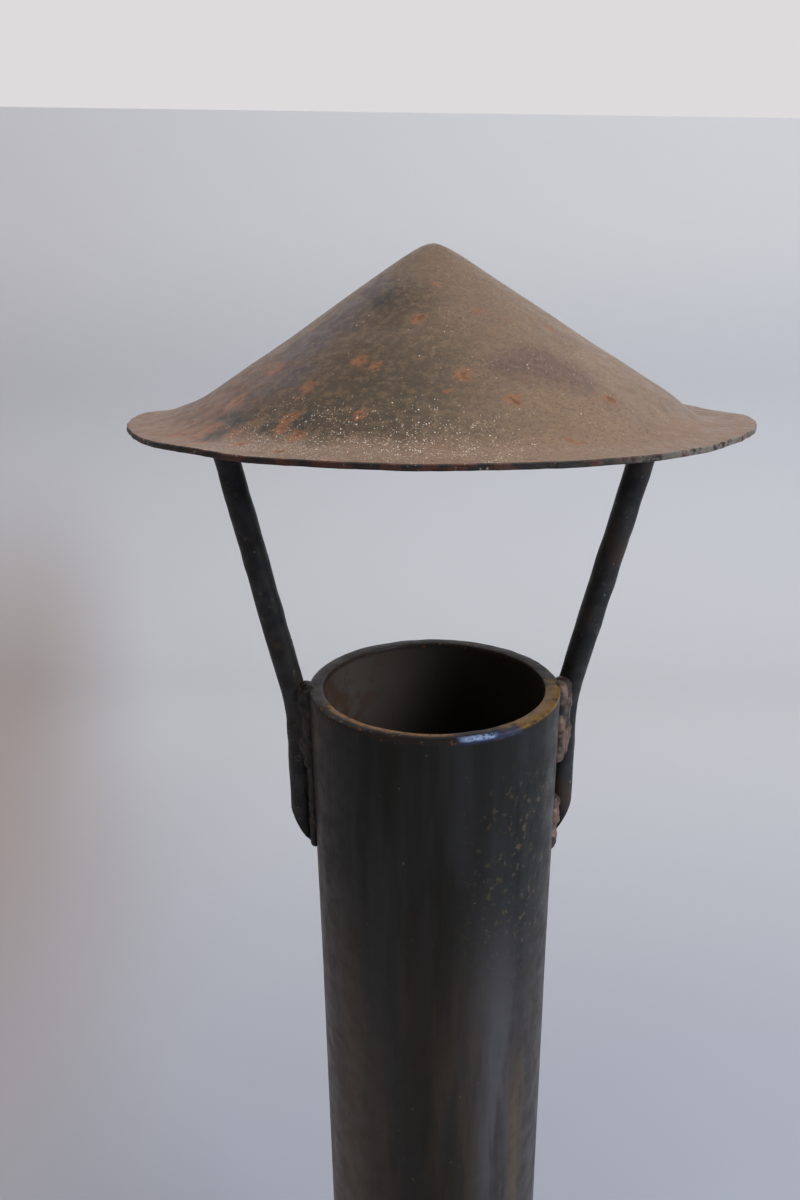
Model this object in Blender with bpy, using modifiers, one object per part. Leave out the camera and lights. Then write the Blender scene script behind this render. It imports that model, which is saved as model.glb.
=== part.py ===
"""Charcoal iron with a tall flue pipe and a cone-shaped rain cap.

Units are metres. +Z is up, +Y points to the toe and the origin is on the ground,
in the middle of the iron's length and width. Each sub-part is its own object.
"""
import math

import bmesh
import bpy
from mathutils import Matrix, Vector

MM = 0.001
GAP = 0.3 * MM            # space left between pieces that touch

# Sole and body outline: parallel sides, then two arcs that meet at the toe.
SOLE_LENGTH = 206 * MM
SOLE_HALF_WIDTH = 52 * MM
SOLE_THICKNESS = 10 * MM
NOSE_LENGTH = 125 * MM    # length of the curved part
ARC_RADIUS = (NOSE_LENGTH ** 2 + SOLE_HALF_WIDTH ** 2) / (2 * SOLE_HALF_WIDTH)
WALL_INSET = 2 * MM       # wall face behind the sole's edge
WALL_SHEET = 2.5 * MM
WALL_TOP = 78 * MM
LID_SHEET = 3 * MM
LID_INSET = 1 * MM
LID_TOP = WALL_TOP + GAP + LID_SHEET

# Draught door at the heel.
DOOR_RADIUS = 14 * MM
DOOR_SHEET = 2 * MM
DOOR_Z = 27 * MM
DOOR_PIVOT_Z = 47 * MM
DRAUGHT_HOLE_RADIUS = 10 * MM
KNOB_LENGTH = 10 * MM

# Places along the length. The knob is the rearmost piece.
REAR_REACH = KNOB_LENGTH + DOOR_SHEET + 2 * GAP - WALL_INSET
TOE_Y = (SOLE_LENGTH + REAR_REACH) / 2
HEEL_Y = TOE_Y - SOLE_LENGTH
HEEL_FACE_Y = HEEL_Y + WALL_INSET
ARC_CENTRE_Y = TOE_Y - NOSE_LENGTH
PIPE_Y = TOE_Y - 47 * MM
SPLIT_Y = TOE_Y - 90 * MM      # between the fixed nose deck and the lid

# Flue pipe, its collar, the stays and the cap.
PIPE_RADIUS = 20 * MM
PIPE_MOUTH_RADIUS = 20.35 * MM     # the tube is belled a little towards its rim
PIPE_MOUTH_LENGTH = 50 * MM
PIPE_BORE_RADIUS = 17.9 * MM
RIM_Z = LID_TOP + 180 * MM
PIPE_BOTTOM_Z = WALL_TOP - 8 * MM
COLLAR_RADIUS = 28.5 * MM
COLLAR_HEIGHT = 12 * MM
COLLAR_SHEET = 2.5 * MM
COLLAR_RIVET_CIRCLE = 25.8 * MM
STAY_RADIUS = 2 * MM
STAY_LEG_REACH = 22.7 * MM         # from the pipe's axis to the bar's
STAY_TOP_REACH = 33 * MM
STAY_TOP = 44.2 * MM               # heights from the rim
STAY_BEND = -4.5 * MM
STAY_FOOT = -30.5 * MM
STAY_FOOT_RISE = 7.3 * MM          # the foot is cut off aslant
STAY_RIGHT_TURN = 11               # degrees that the right leg stands behind the left one's line
CAP_SHEET = 0.7 * MM
CAP_RADIUS = 44 * MM
CAP_APEX_Z = RIM_Z + 67 * MM
CAP_BRIM_Z = RIM_Z + 42.5 * MM
CAP_SLOPE = 0.648
CAP_EASE = 4 * MM         # how gently the cone runs into the brim
CAP_TIP_RADIUS = 1.5 * MM

# Lid hinge at the heel.
HINGE_Y = HEEL_FACE_Y - 4.2 * MM
HINGE_Z = LID_TOP - 0.5 * MM
HINGE_HALF_WIDTH = 20 * MM
KNUCKLE_RADIUS = 3.6 * MM
KNUCKLE_HALF_WIDTH = 7.8 * MM
LEAF_SHEET = 2 * MM
PIN_RADIUS = 1.6 * MM

# Handle on the lid.
POST_SHEET = 3 * MM
POST_WIDTH = 16 * MM
POST_NECK_WIDTH = 12 * MM
POST_FOOT = 17 * MM
POST_FRONT_Y = TOE_Y - 110 * MM
POST_REAR_Y = TOE_Y - 190 * MM
GRIP_Z = LID_TOP + 68 * MM
GRIP_RADIUS = 14 * MM
ROD_RADIUS = 4 * MM
SHIELD_Z = LID_TOP + 14 * MM
SHIELD_SHEET = 1.5 * MM
SHIELD_HALF_WIDTH = 23 * MM
FERRULE_LENGTH = 7 * MM
NUT_LENGTH = 5.5 * MM

# Lid catch and its keeper.
CATCH_Y = TOE_Y - 99 * MM
CATCH_REACH = 17 * MM
CATCH_HALF_WIDTH = 4.5 * MM
CATCH_SHEET = 2 * MM
KEEPER_Y = TOE_Y - 84.5 * MM
KEEPER_RISE = 5.2 * MM
KEEPER_SHEET = 1.5 * MM
KEEPER_LEG_X = 9 * MM
KEEPER_TONGUE_X = 6 * MM
KEEPER_WIDTH = 7 * MM

# Fire grate.
GRATE_Z = 38.7 * MM
GRATE_SHEET = 2 * MM
RAIL_HEIGHT = 4 * MM
RAIL_WIDTH = 5 * MM

RIVET_RADIUS = 1.4 * MM
RIVET_HEAD_RADIUS = 2.4 * MM
RIVET_HEAD = 1.5 * MM
RIVET_TAIL = 0.9 * MM

AXIS_TURN = {
    "X": Matrix.Rotation(math.radians(90), 4, "Y"),
    "Y": Matrix.Rotation(math.radians(-90), 4, "X"),
    "-Y": Matrix.Rotation(math.radians(90), 4, "X"),
    "Z": Matrix.Identity(4),
}


# ---------------------------------------------------------------- scene and helpers

def clear_scene():
    for old in list(bpy.data.objects):
        bpy.data.objects.remove(old, do_unlink=True)


def make_collection(name):
    collection = bpy.data.collections.new(name)
    bpy.context.scene.collection.children.link(collection)
    return collection


def linear(hex_colour):
    """sRGB hex text to the linear values that a shader takes."""
    values = []
    for start in (0, 2, 4):
        level = int(hex_colour[start:start + 2], 16) / 255
        values.append(level / 12.92 if level <= 0.04045 else ((level + 0.055) / 1.055) ** 2.4)
    return (*values, 1.0)


def make_material(name, hex_colour, roughness, metallic):
    material = bpy.data.materials.new(name)
    material.use_nodes = True
    shader = material.node_tree.nodes["Principled BSDF"]
    shader.inputs["Base Color"].default_value = linear(hex_colour)
    shader.inputs["Roughness"].default_value = roughness
    shader.inputs["Metallic"].default_value = metallic
    material.diffuse_color = linear(hex_colour)
    return material


def add_object(name, data, material, place=(0, 0, 0), turn="Z", collection=None):
    piece = bpy.data.objects.new(name, data)
    (collection or iron).objects.link(piece)
    piece.matrix_world = Matrix.Translation(place) @ AXIS_TURN[turn]
    if material:
        data.materials.append(material)
    return piece


def smooth_round(mesh, angle=35):
    mesh.shade_smooth()
    mesh.set_sharp_from_angle(angle=math.radians(angle))


def box(name, low, high, material, collection=None):
    """A box between two corners, its origin at its centre."""
    low, high = Vector(low), Vector(high)
    work = bmesh.new()
    bmesh.ops.create_cube(work, size=1, matrix=Matrix.Diagonal((*(high - low), 1)))
    mesh = bpy.data.meshes.new(name)
    work.to_mesh(mesh)
    work.free()
    return add_object(name, mesh, material, (low + high) / 2, "Z", collection)


def cylinder(name, radius, length, place, turn, material, segments=24, collection=None):
    work = bmesh.new()
    bmesh.ops.create_cone(work, cap_ends=True, segments=segments,
                          radius1=radius, radius2=radius, depth=length)
    mesh = bpy.data.meshes.new(name)
    work.to_mesh(mesh)
    work.free()
    smooth_round(mesh)
    return add_object(name, mesh, material, place, turn, collection)


def turned(name, profile, place, turn, material, steps=24, closed=False):
    """A profile of (radius, height) points, top to bottom, spun about its own Z."""
    mesh = bpy.data.meshes.new(name)
    edges = [(i, i + 1) for i in range(len(profile) - 1)]
    if closed:
        edges.append((len(profile) - 1, 0))
    mesh.from_pydata([(radius, 0, height) for radius, height in profile], edges, [])
    piece = add_object(name, mesh, material, place, turn)
    screw = piece.modifiers.new("spin", "SCREW")
    screw.steps = steps
    screw.render_steps = steps
    screw.use_merge_vertices = True
    screw.merge_threshold = 0.00001
    screw.use_smooth_shade = True
    return piece


def as_mesh(piece):
    """Turns a curve object into a mesh one, with its caps welded."""
    bpy.context.view_layer.update()
    evaluated = piece.evaluated_get(bpy.context.evaluated_depsgraph_get())
    mesh = bpy.data.meshes.new_from_object(evaluated)
    work = bmesh.new()
    work.from_mesh(mesh)
    bmesh.ops.remove_doubles(work, verts=work.verts, dist=0.00001)
    work.to_mesh(mesh)
    work.free()
    solid = bpy.data.objects.new(piece.name + "_solid", mesh)
    piece.users_collection[0].objects.link(solid)
    solid.matrix_world = piece.matrix_world
    name = piece.name
    bpy.data.objects.remove(piece, do_unlink=True)
    solid.name = name
    return solid


def plate(name, loops, thickness, place, material, turn="Z", collection=None):
    """A flat plate from closed outlines, centred on its own thickness."""
    curve = bpy.data.curves.new(name, "CURVE")
    curve.dimensions = "2D"
    curve.fill_mode = "BOTH"
    curve.extrude = thickness / 2
    for loop in loops:
        spline = curve.splines.new("POLY")
        spline.points.add(len(loop) - 1)
        for point, (x, y) in zip(spline.points, loop):
            point.co = (x, y, 0, 1)
        spline.use_cyclic_u = True
    return as_mesh(add_object(name, curve, material, place, turn, collection))


def rod(name, points, radius, material):
    """A round bar along a list of points."""
    curve = bpy.data.curves.new(name, "CURVE")
    curve.dimensions = "3D"
    curve.bevel_depth = radius
    curve.bevel_resolution = 3
    curve.use_fill_caps = True
    spline = curve.splines.new("POLY")
    spline.points.add(len(points) - 1)
    for point, place in zip(spline.points, points):
        point.co = (*place, 1)
    return as_mesh(add_object(name, curve, material))


def combine(piece, others, operation):
    """Cuts a piece with the others, or joins them to it."""
    for other in others:
        other.hide_render = True
        other.display_type = "WIRE"
        step = piece.modifiers.new(other.name, "BOOLEAN")
        step.operation = operation
        step.solver = "EXACT"
        step.object = other
    return piece


def cut(piece, others):
    return combine(piece, others, "DIFFERENCE")


def join(piece, others):
    return combine(piece, others, "UNION")


def hole(name, radius, length, place, turn, segments=16):
    return cylinder(name, radius, length, place, turn, None, segments, cutters)


def block(name, low, high):
    return box(name, low, high, None, cutters)


def bevel(piece, width, segments=2, angle=40):
    step = piece.modifiers.new("edges", "BEVEL")
    step.width = width
    step.segments = segments
    step.limit_method = "ANGLE"
    step.angle_limit = math.radians(angle)
    return piece


def rivet(name, place, turn, held, material):
    """A rivet whose head seats at its place and whose shank passes through `held` metres."""
    bottom = -held - GAP
    profile = [(0, GAP + RIVET_HEAD), (0.55 * RIVET_HEAD_RADIUS, GAP + 0.84 * RIVET_HEAD),
               (0.88 * RIVET_HEAD_RADIUS, GAP + 0.5 * RIVET_HEAD), (RIVET_HEAD_RADIUS, GAP),
               (RIVET_RADIUS, GAP), (RIVET_RADIUS, bottom), (0.9 * RIVET_HEAD_RADIUS, bottom),
               (0.7 * RIVET_HEAD_RADIUS, bottom - RIVET_TAIL), (0, bottom - RIVET_TAIL)]
    return turned(name, profile, place, turn, material, 12)


def rivet_holes(name, places, turn, length):
    radius = RIVET_RADIUS + GAP
    return [hole(f"{name}_{i}", radius, length, place, turn, 12) for i, place in enumerate(places)]


def outline(inset, rear_y, front_y=None, steps=10):
    """The iron's boat shape, moved in by `inset`; `front_y` cuts it straight across."""
    radius = ARC_RADIUS - inset
    to_middle = ARC_RADIUS - SOLE_HALF_WIDTH
    last = math.acos(to_middle / radius)
    if front_y is not None:
        last = math.asin(max(0.0, front_y - ARC_CENTRE_Y) / radius)
    right = [(SOLE_HALF_WIDTH - inset, rear_y)]
    for i in range(steps + 1):
        angle = last * i / steps
        right.append((radius * math.cos(angle) - to_middle, ARC_CENTRE_Y + radius * math.sin(angle)))
    if front_y is None:
        right[-1] = (0.0, right[-1][1])
        return right + [(-x, y) for x, y in reversed(right[:-1])]
    return right + [(-x, y) for x, y in reversed(right)]


# ---------------------------------------------------------------- the fixed body

def make_sole():
    centre = (0, 0, SOLE_THICKNESS / 2)
    bevel(plate("sole_plate", [outline(0, HEEL_Y, steps=16)], SOLE_THICKNESS, centre, ground_steel),
          1.2 * MM)


def make_wall():
    bottom = SOLE_THICKNESS + GAP
    rear_y = HEEL_FACE_Y + WALL_SHEET + GAP
    outer = outline(WALL_INSET, rear_y, steps=14)
    inner = outline(WALL_INSET + WALL_SHEET, rear_y, steps=14)
    middle = (0, 0, (bottom + WALL_TOP) / 2)
    wall = plate("body_wall", [outer + inner[::-1]], WALL_TOP - bottom, middle, black_steel)
    air_holes = []
    for i in range(8):
        place = (0, HEEL_Y + 26 * MM + 15 * MM * i, 25 * MM)
        air_holes.append(hole(f"air_hole_{i}", 3.5 * MM, 3 * SOLE_HALF_WIDTH, place, "X", 12))
    cut(wall, air_holes)


def make_heel_plate():
    half = SOLE_HALF_WIDTH - WALL_INSET
    heel = box("heel_plate", (-half, HEEL_FACE_Y, SOLE_THICKNESS + GAP),
               (half, HEEL_FACE_Y + WALL_SHEET, WALL_TOP), black_steel)
    draught = hole("draught_hole", DRAUGHT_HOLE_RADIUS, 4 * WALL_SHEET,
                   (0, HEEL_FACE_Y, DOOR_Z), "Y", 32)
    places = [(0, HEEL_FACE_Y, DOOR_PIVOT_Z)] + leaf_rivet_places()
    cut(heel, [draught] + rivet_holes("heel_rivet_hole", places, "Y", 4 * WALL_SHEET))


def leaf_rivet_places():
    return [(side * 13 * MM, HEEL_FACE_Y, 71 * MM) for side in (-1, 1)]


def collar_rivet_places(height):
    places = []
    for quarter in range(4):
        angle = math.radians(90 * quarter)
        places.append((COLLAR_RIVET_CIRCLE * math.cos(angle),
                       PIPE_Y + COLLAR_RIVET_CIRCLE * math.sin(angle), height))
    return places


def keeper_rivet_places(height):
    return [(-x * MM, KEEPER_Y, height) for x in (14, 21)]


def make_nose_deck():
    full = outline(LID_INSET, SPLIT_Y, steps=14)
    nose = [(x, y) for x, y in full if y > SPLIT_Y + 1 * MM]
    half = edge_half_width(SPLIT_Y, LID_INSET)
    nose = [(half, SPLIT_Y)] + nose + [(-half, SPLIT_Y)]
    deck = plate("nose_deck", [nose], LID_SHEET, (0, 0, LID_TOP - LID_SHEET / 2), black_steel)
    flue = hole("flue_hole", PIPE_RADIUS + GAP, 4 * LID_SHEET, (0, PIPE_Y, LID_TOP), "Z", 48)
    places = collar_rivet_places(LID_TOP) + keeper_rivet_places(LID_TOP)
    cut(deck, [flue] + rivet_holes("deck_rivet_hole", places, "Z", 4 * LID_SHEET))


def edge_half_width(y, inset):
    """Half the iron's width at a place along its length."""
    if y <= ARC_CENTRE_Y:
        return SOLE_HALF_WIDTH - inset
    across = math.sqrt((ARC_RADIUS - inset) ** 2 - (y - ARC_CENTRE_Y) ** 2)
    return across - (ARC_RADIUS - SOLE_HALF_WIDTH)


def make_collar():
    bore = PIPE_RADIUS + GAP
    neck = bore + COLLAR_SHEET
    profile = [(bore, COLLAR_HEIGHT), (neck, COLLAR_HEIGHT), (neck, COLLAR_SHEET + 1.5 * MM),
               (neck + 0.4 * MM, COLLAR_SHEET + 0.4 * MM), (neck + 1.5 * MM, COLLAR_SHEET),
               (COLLAR_RADIUS, COLLAR_SHEET), (COLLAR_RADIUS, 0), (bore, 0)]
    collar = turned("flue_collar", profile, (0, PIPE_Y, LID_TOP + GAP), "Z", black_steel, 48, True)
    cut(collar, rivet_holes("collar_rivet_hole", collar_rivet_places(LID_TOP), "Z", 8 * MM))
    held = COLLAR_SHEET + GAP + LID_SHEET
    for i, place in enumerate(collar_rivet_places(LID_TOP + GAP + COLLAR_SHEET)):
        rivet(f"collar_rivet_{i + 1}", place, "Z", held, rivet_steel)


def make_pipe():
    profile = [(PIPE_BORE_RADIUS, RIM_Z), (PIPE_MOUTH_RADIUS, RIM_Z),
               (PIPE_RADIUS, RIM_Z - PIPE_MOUTH_LENGTH),
               (PIPE_RADIUS, PIPE_BOTTOM_Z), (PIPE_BORE_RADIUS, PIPE_BOTTOM_Z)]
    turned("chimney_pipe", profile, (0, PIPE_Y, 0), "Z", black_steel, 48, True)


def around_pipe(reach, height, turn):
    """A place at a distance from the pipe's axis and a height from its rim."""
    angle = math.radians(turn)
    return (reach * math.cos(angle), PIPE_Y + reach * math.sin(angle), RIM_Z + height)


def make_stays():
    """Two round bars: a leg beside the pipe, a bend below the rim, then out to the cap."""
    for name, leg_turn, top_turn in (("stay_left", 180, 180), ("stay_right", STAY_RIGHT_TURN, 2)):
        points = [around_pipe(STAY_LEG_REACH, STAY_FOOT, leg_turn),
                  around_pipe(STAY_LEG_REACH, STAY_BEND - 2.5 * MM, leg_turn),
                  around_pipe(STAY_LEG_REACH + 0.2 * MM, STAY_BEND, leg_turn),
                  around_pipe(STAY_TOP_REACH, STAY_TOP, top_turn)]
        stay = rod(name, points, STAY_RADIUS, black_steel)
        cut(stay, [foot_cutter(name, leg_turn)])


def foot_cutter(name, turn):
    """A block whose face crosses the leg aslant, from high outside to low beside the pipe."""
    wide = 2 * STAY_RADIUS
    slant = math.atan2(wide, STAY_FOOT_RISE)
    cutter = block(name + "_foot_cutter", (0, -wide, -3 * wide), (3 * wide, wide, 3 * wide))
    high_edge = Vector((STAY_LEG_REACH + STAY_RADIUS, 0, STAY_FOOT + STAY_FOOT_RISE))
    cutter.matrix_world = (Matrix.Translation((0, PIPE_Y, RIM_Z))
                           @ Matrix.Rotation(math.radians(turn), 4, "Z")
                           @ Matrix.Translation(high_edge)
                           @ Matrix.Rotation(slant, 4, "Y")
                           @ Matrix.Translation((1.5 * wide, 0, 0)))
    return cutter


def cap_height(radius):
    """Height of the cap's upper face: a blunt cone that eases into a flat brim."""
    cone = CAP_APEX_Z - CAP_SLOPE * (math.hypot(radius, CAP_TIP_RADIUS) - CAP_TIP_RADIUS)
    step = cone - CAP_BRIM_Z
    return CAP_BRIM_Z + (step + math.hypot(step, CAP_EASE)) / 2 - CAP_EASE / 8


def make_cap():
    rings = 13
    radii = [CAP_RADIUS * i / rings for i in range(rings + 1)]
    upper = [(radius, cap_height(radius)) for radius in radii]
    lower = [(radius, height - CAP_SHEET) for radius, height in reversed(upper)]
    turned("rain_cap", upper + lower, (0, PIPE_Y, 0), "Z", rusty_sheet, 48)


def make_grate():
    inset = WALL_INSET + WALL_SHEET + 1.5 * MM
    rear_y = HEEL_FACE_Y + WALL_SHEET + 1.5 * MM
    front_y = SPLIT_Y + 34 * MM
    middle = (0, 0, GRATE_Z + GRATE_SHEET / 2)
    grate = plate("fire_grate", [outline(inset, rear_y, front_y)], GRATE_SHEET, middle, cast_iron)
    slots = []
    for i in range(10):
        y = rear_y + 8 * MM + 13 * MM * i
        half = min(34 * MM, edge_half_width(y, inset) - 8 * MM)
        low = (-half, y, GRATE_Z - 2 * MM)
        high = (half, y + 5.5 * MM, GRATE_Z + GRATE_SHEET + 2 * MM)
        slots.append(block(f"grate_slot_{i}", low, high))
    cut(grate, slots)
    outer = SOLE_HALF_WIDTH - WALL_INSET - WALL_SHEET - GAP
    for name, side in (("grate_rail_left", -1), ("grate_rail_right", 1)):
        inner = outer - RAIL_WIDTH
        low_x, high_x = sorted((side * inner, side * outer))
        low = (low_x, HEEL_FACE_Y + 10 * MM, GRATE_Z - GAP - RAIL_HEIGHT)
        high = (high_x, HEEL_FACE_Y + 75 * MM, GRATE_Z - GAP)
        box(name, low, high, black_steel)


def make_keeper():
    """A strap with a riveted foot and a raised tongue, open on the side the catch comes from."""
    sheet = KEEPER_SHEET
    round_off = 0.8 * MM
    foot = KEEPER_LEG_X + 17 * MM
    loop = [(-foot, 0), (-KEEPER_LEG_X + sheet, 0), (-KEEPER_LEG_X + sheet, KEEPER_RISE - sheet),
            (KEEPER_TONGUE_X, KEEPER_RISE - sheet), (KEEPER_TONGUE_X, KEEPER_RISE),
            (-KEEPER_LEG_X + round_off, KEEPER_RISE), (-KEEPER_LEG_X, KEEPER_RISE - round_off),
            (-KEEPER_LEG_X, sheet), (-foot, sheet)]
    strap = plate("catch_keeper", [loop], KEEPER_WIDTH, (0, KEEPER_Y, LID_TOP + GAP), black_steel, "-Y")
    cut(strap, rivet_holes("keeper_rivet_hole", keeper_rivet_places(LID_TOP), "Z", 8 * MM))
    for i, place in enumerate(keeper_rivet_places(LID_TOP + GAP + sheet)):
        rivet(f"keeper_rivet_{i + 1}", place, "Z", sheet + GAP + LID_SHEET, rivet_steel)


# ---------------------------------------------------------------- draught door

def make_draught_door():
    """A disc with an ear that hangs from a rivet and swings off the draught hole."""
    middle_y = HEEL_FACE_Y - GAP - DOOR_SHEET / 2
    door = cylinder("draught_door", 6 * MM, DOOR_SHEET, (0, middle_y, DOOR_PIVOT_Z), "Y", black_steel)
    disc = cylinder("door_disc", DOOR_RADIUS, DOOR_SHEET, (0, middle_y, DOOR_Z), "Y", None, 40, cutters)
    web = block("door_web", (-6 * MM, middle_y - DOOR_SHEET / 2, DOOR_Z),
                (6 * MM, middle_y + DOOR_SHEET / 2, DOOR_PIVOT_Z))
    join(door, [web, disc])
    pivot = (0, middle_y, DOOR_PIVOT_Z)
    screw_place = (0, middle_y, DOOR_Z - 3 * MM)
    cut(door, [hole("door_pivot_hole", RIVET_RADIUS + GAP, 8 * MM, pivot, "Y", 16),
               hole("door_knob_hole", RIVET_RADIUS + GAP, 8 * MM, screw_place, "Y", 16)])
    front = HEEL_FACE_Y - GAP - DOOR_SHEET
    rivet("door_pivot", (0, front, DOOR_PIVOT_Z), "-Y", DOOR_SHEET + GAP + WALL_SHEET, rivet_steel)
    knob = [(0, KNOB_LENGTH), (2.2 * MM, KNOB_LENGTH - 0.3 * MM), (3.7 * MM, KNOB_LENGTH - 1.6 * MM),
            (4.2 * MM, KNOB_LENGTH - 3.4 * MM), (3.6 * MM, KNOB_LENGTH - 5.2 * MM),
            (2.2 * MM, KNOB_LENGTH - 6.6 * MM), (2 * MM, 1.6 * MM), (3.4 * MM, 0.9 * MM),
            (3.4 * MM, GAP), (RIVET_RADIUS, GAP), (RIVET_RADIUS, -DOOR_SHEET), (0, -DOOR_SHEET)]
    turned("door_knob", knob, (0, front, DOOR_Z - 3 * MM), "-Y", brass, 20)


# ---------------------------------------------------------------- lid and its hinge

def make_lid():
    loop = outline(LID_INSET, HEEL_FACE_Y, SPLIT_Y - 0.6 * MM, 6)
    lid = plate("lid_plate", [loop], LID_SHEET, (0, 0, LID_TOP - LID_SHEET / 2), black_steel)
    places = lid_leaf_rivet_places(LID_TOP) + post_screw_places(LID_TOP) + [(0, CATCH_Y, LID_TOP)]
    cut(lid, rivet_holes("lid_rivet_hole", places, "Z", 4 * LID_SHEET))
    inset = WALL_INSET + WALL_SHEET + 1.2 * MM
    sheet = 2 * MM
    rear_y = HEEL_FACE_Y + 10 * MM
    front_y = SPLIT_Y - 4 * MM
    outer = outline(inset, rear_y, front_y, 6)
    inner = outline(inset + sheet, rear_y + sheet, front_y - sheet, 6)
    height = 6 * MM
    middle = (0, 0, LID_TOP - LID_SHEET - GAP - height / 2)
    plate("lid_skirt", [outer, inner], height, middle, black_steel)


def lid_leaf_rivet_places(height):
    return [(side * 13 * MM, HEEL_FACE_Y + 6 * MM, height) for side in (-1, 1)]


def knuckle(name, low_x, high_x, collection=None, material=None):
    place = ((low_x + high_x) / 2, HINGE_Y, HINGE_Z)
    return cylinder(name, KNUCKLE_RADIUS, high_x - low_x, place, "X", material, 24, collection)


def make_hinge():
    wide = HINGE_HALF_WIDTH
    split = KNUCKLE_HALF_WIDTH + 0.4 * MM
    back = HEEL_FACE_Y - GAP - LEAF_SHEET
    leaf = box("hinge_leaf_body", (-wide, back, 66 * MM), (wide, HEEL_FACE_Y - GAP, HINGE_Z - 4 * MM),
               black_steel)
    parts = []
    for name, side in (("left", -1), ("right", 1)):
        low_x, high_x = sorted((side * split, side * wide))
        parts.append(block(f"body_tab_{name}", (low_x, back, 70 * MM), (high_x, HEEL_FACE_Y - GAP, HINGE_Z)))
        parts.append(knuckle(f"body_knuckle_{name}", low_x, high_x, cutters))
    join(leaf, parts)
    bore = hole("body_pin_hole", PIN_RADIUS + GAP, 60 * MM, (0, HINGE_Y, HINGE_Z), "X", 24)
    cut(leaf, [bore] + rivet_holes("body_leaf_hole", leaf_rivet_places(), "Y", 10 * MM))
    for i, (x, y, z) in enumerate(leaf_rivet_places()):
        held = LEAF_SHEET + GAP + WALL_SHEET
        rivet(f"hinge_rivet_{i + 1}", (x, back, z), "-Y", held, rivet_steel)

    bottom = LID_TOP + GAP
    narrow = KNUCKLE_HALF_WIDTH
    lid_leaf = box("hinge_leaf_lid", (-wide, HEEL_FACE_Y - 0.2 * MM, bottom),
                   (wide, HEEL_FACE_Y + 10.5 * MM, bottom + LEAF_SHEET), black_steel)
    tab = block("lid_tab", (-narrow, HINGE_Y, bottom), (narrow, HEEL_FACE_Y + 3 * MM, bottom + LEAF_SHEET))
    join(lid_leaf, [tab, knuckle("lid_knuckle", -narrow, narrow, cutters)])
    bore = hole("lid_pin_hole", PIN_RADIUS + GAP, 60 * MM, (0, HINGE_Y, HINGE_Z), "X", 24)
    cut(lid_leaf, [bore] + rivet_holes("lid_leaf_hole", lid_leaf_rivet_places(LID_TOP), "Z", 12 * MM))
    for i, place in enumerate(lid_leaf_rivet_places(bottom + LEAF_SHEET)):
        rivet(f"lid_leaf_rivet_{i + 1}", place, "Z", LEAF_SHEET + GAP + LID_SHEET, rivet_steel)

    end = wide + GAP
    head = 2.7 * MM
    profile = [(0, end + 1.6 * MM), (0.7 * head, end + 1.3 * MM), (head, end), (PIN_RADIUS, end),
               (PIN_RADIUS, -end), (head, -end), (0.7 * head, -end - 1.3 * MM), (0, -end - 1.6 * MM)]
    turned("hinge_pin", profile, (0, HINGE_Y, HINGE_Z), "X", rivet_steel, 20)


def make_catch():
    """A turn button on the lid; turned forward, its nose lies under the keeper."""
    middle_z = LID_TOP + GAP + CATCH_SHEET / 2
    loop = []
    for i in range(13):
        angle = math.radians(90 + 180 * i / 12)
        loop.append((CATCH_HALF_WIDTH * 1.25 * math.cos(angle), CATCH_HALF_WIDTH * 1.25 * math.sin(angle)))
    tip = CATCH_HALF_WIDTH * 0.62
    for i in range(9):
        angle = math.radians(-90 + 180 * i / 8)
        loop.append((CATCH_REACH - tip + tip * math.cos(angle), tip * math.sin(angle)))
    catch = plate("lid_catch", [loop], CATCH_SHEET, (0, CATCH_Y, middle_z), black_steel)
    cut(catch, rivet_holes("catch_hole", [(0, CATCH_Y, LID_TOP)], "Z", 12 * MM))
    rivet("catch_pivot", (0, CATCH_Y, LID_TOP + GAP + CATCH_SHEET), "Z",
          CATCH_SHEET + GAP + LID_SHEET, rivet_steel)


# ---------------------------------------------------------------- handle

def post_screw_places(height):
    """Two screws side by side in the foot of each post."""
    places = []
    for y in (POST_FRONT_Y - 11 * MM, POST_REAR_Y + 11 * MM):
        places += [(side * 4.6 * MM, y, height) for side in (-1, 1)]
    return places


def make_post(name, y, inward):
    """A strap bent outwards at its foot, with shoulders for the heat shield and an eye for the rod."""
    bottom = LID_TOP + GAP
    top = GRIP_Z + 9 * MM
    low_y, high_y = sorted((y, y - inward * POST_SHEET))
    half = POST_WIDTH / 2
    neck = POST_NECK_WIDTH / 2
    shoulder = SHIELD_Z - GAP
    upright = box(name, (-neck, low_y, bottom), (neck, high_y, top), black_steel)
    foot_low, foot_high = sorted((y - inward * POST_SHEET, y + inward * (POST_FOOT - POST_SHEET)))
    lower = block(f"{name}_lower", (-half, low_y, bottom), (half, high_y, shoulder))
    foot = block(f"{name}_foot", (-half, foot_low, bottom), (half, foot_high, bottom + POST_SHEET))
    join(upright, [lower, foot])
    eye = hole(f"{name}_eye", ROD_RADIUS + GAP, 20 * MM, (0, y, GRIP_Z), "Y", 24)
    near = [place for place in post_screw_places(LID_TOP) if abs(place[1] - y) < POST_FOOT]
    cut(upright, [eye] + rivet_holes(f"{name}_hole", near, "Z", 12 * MM))


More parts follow.
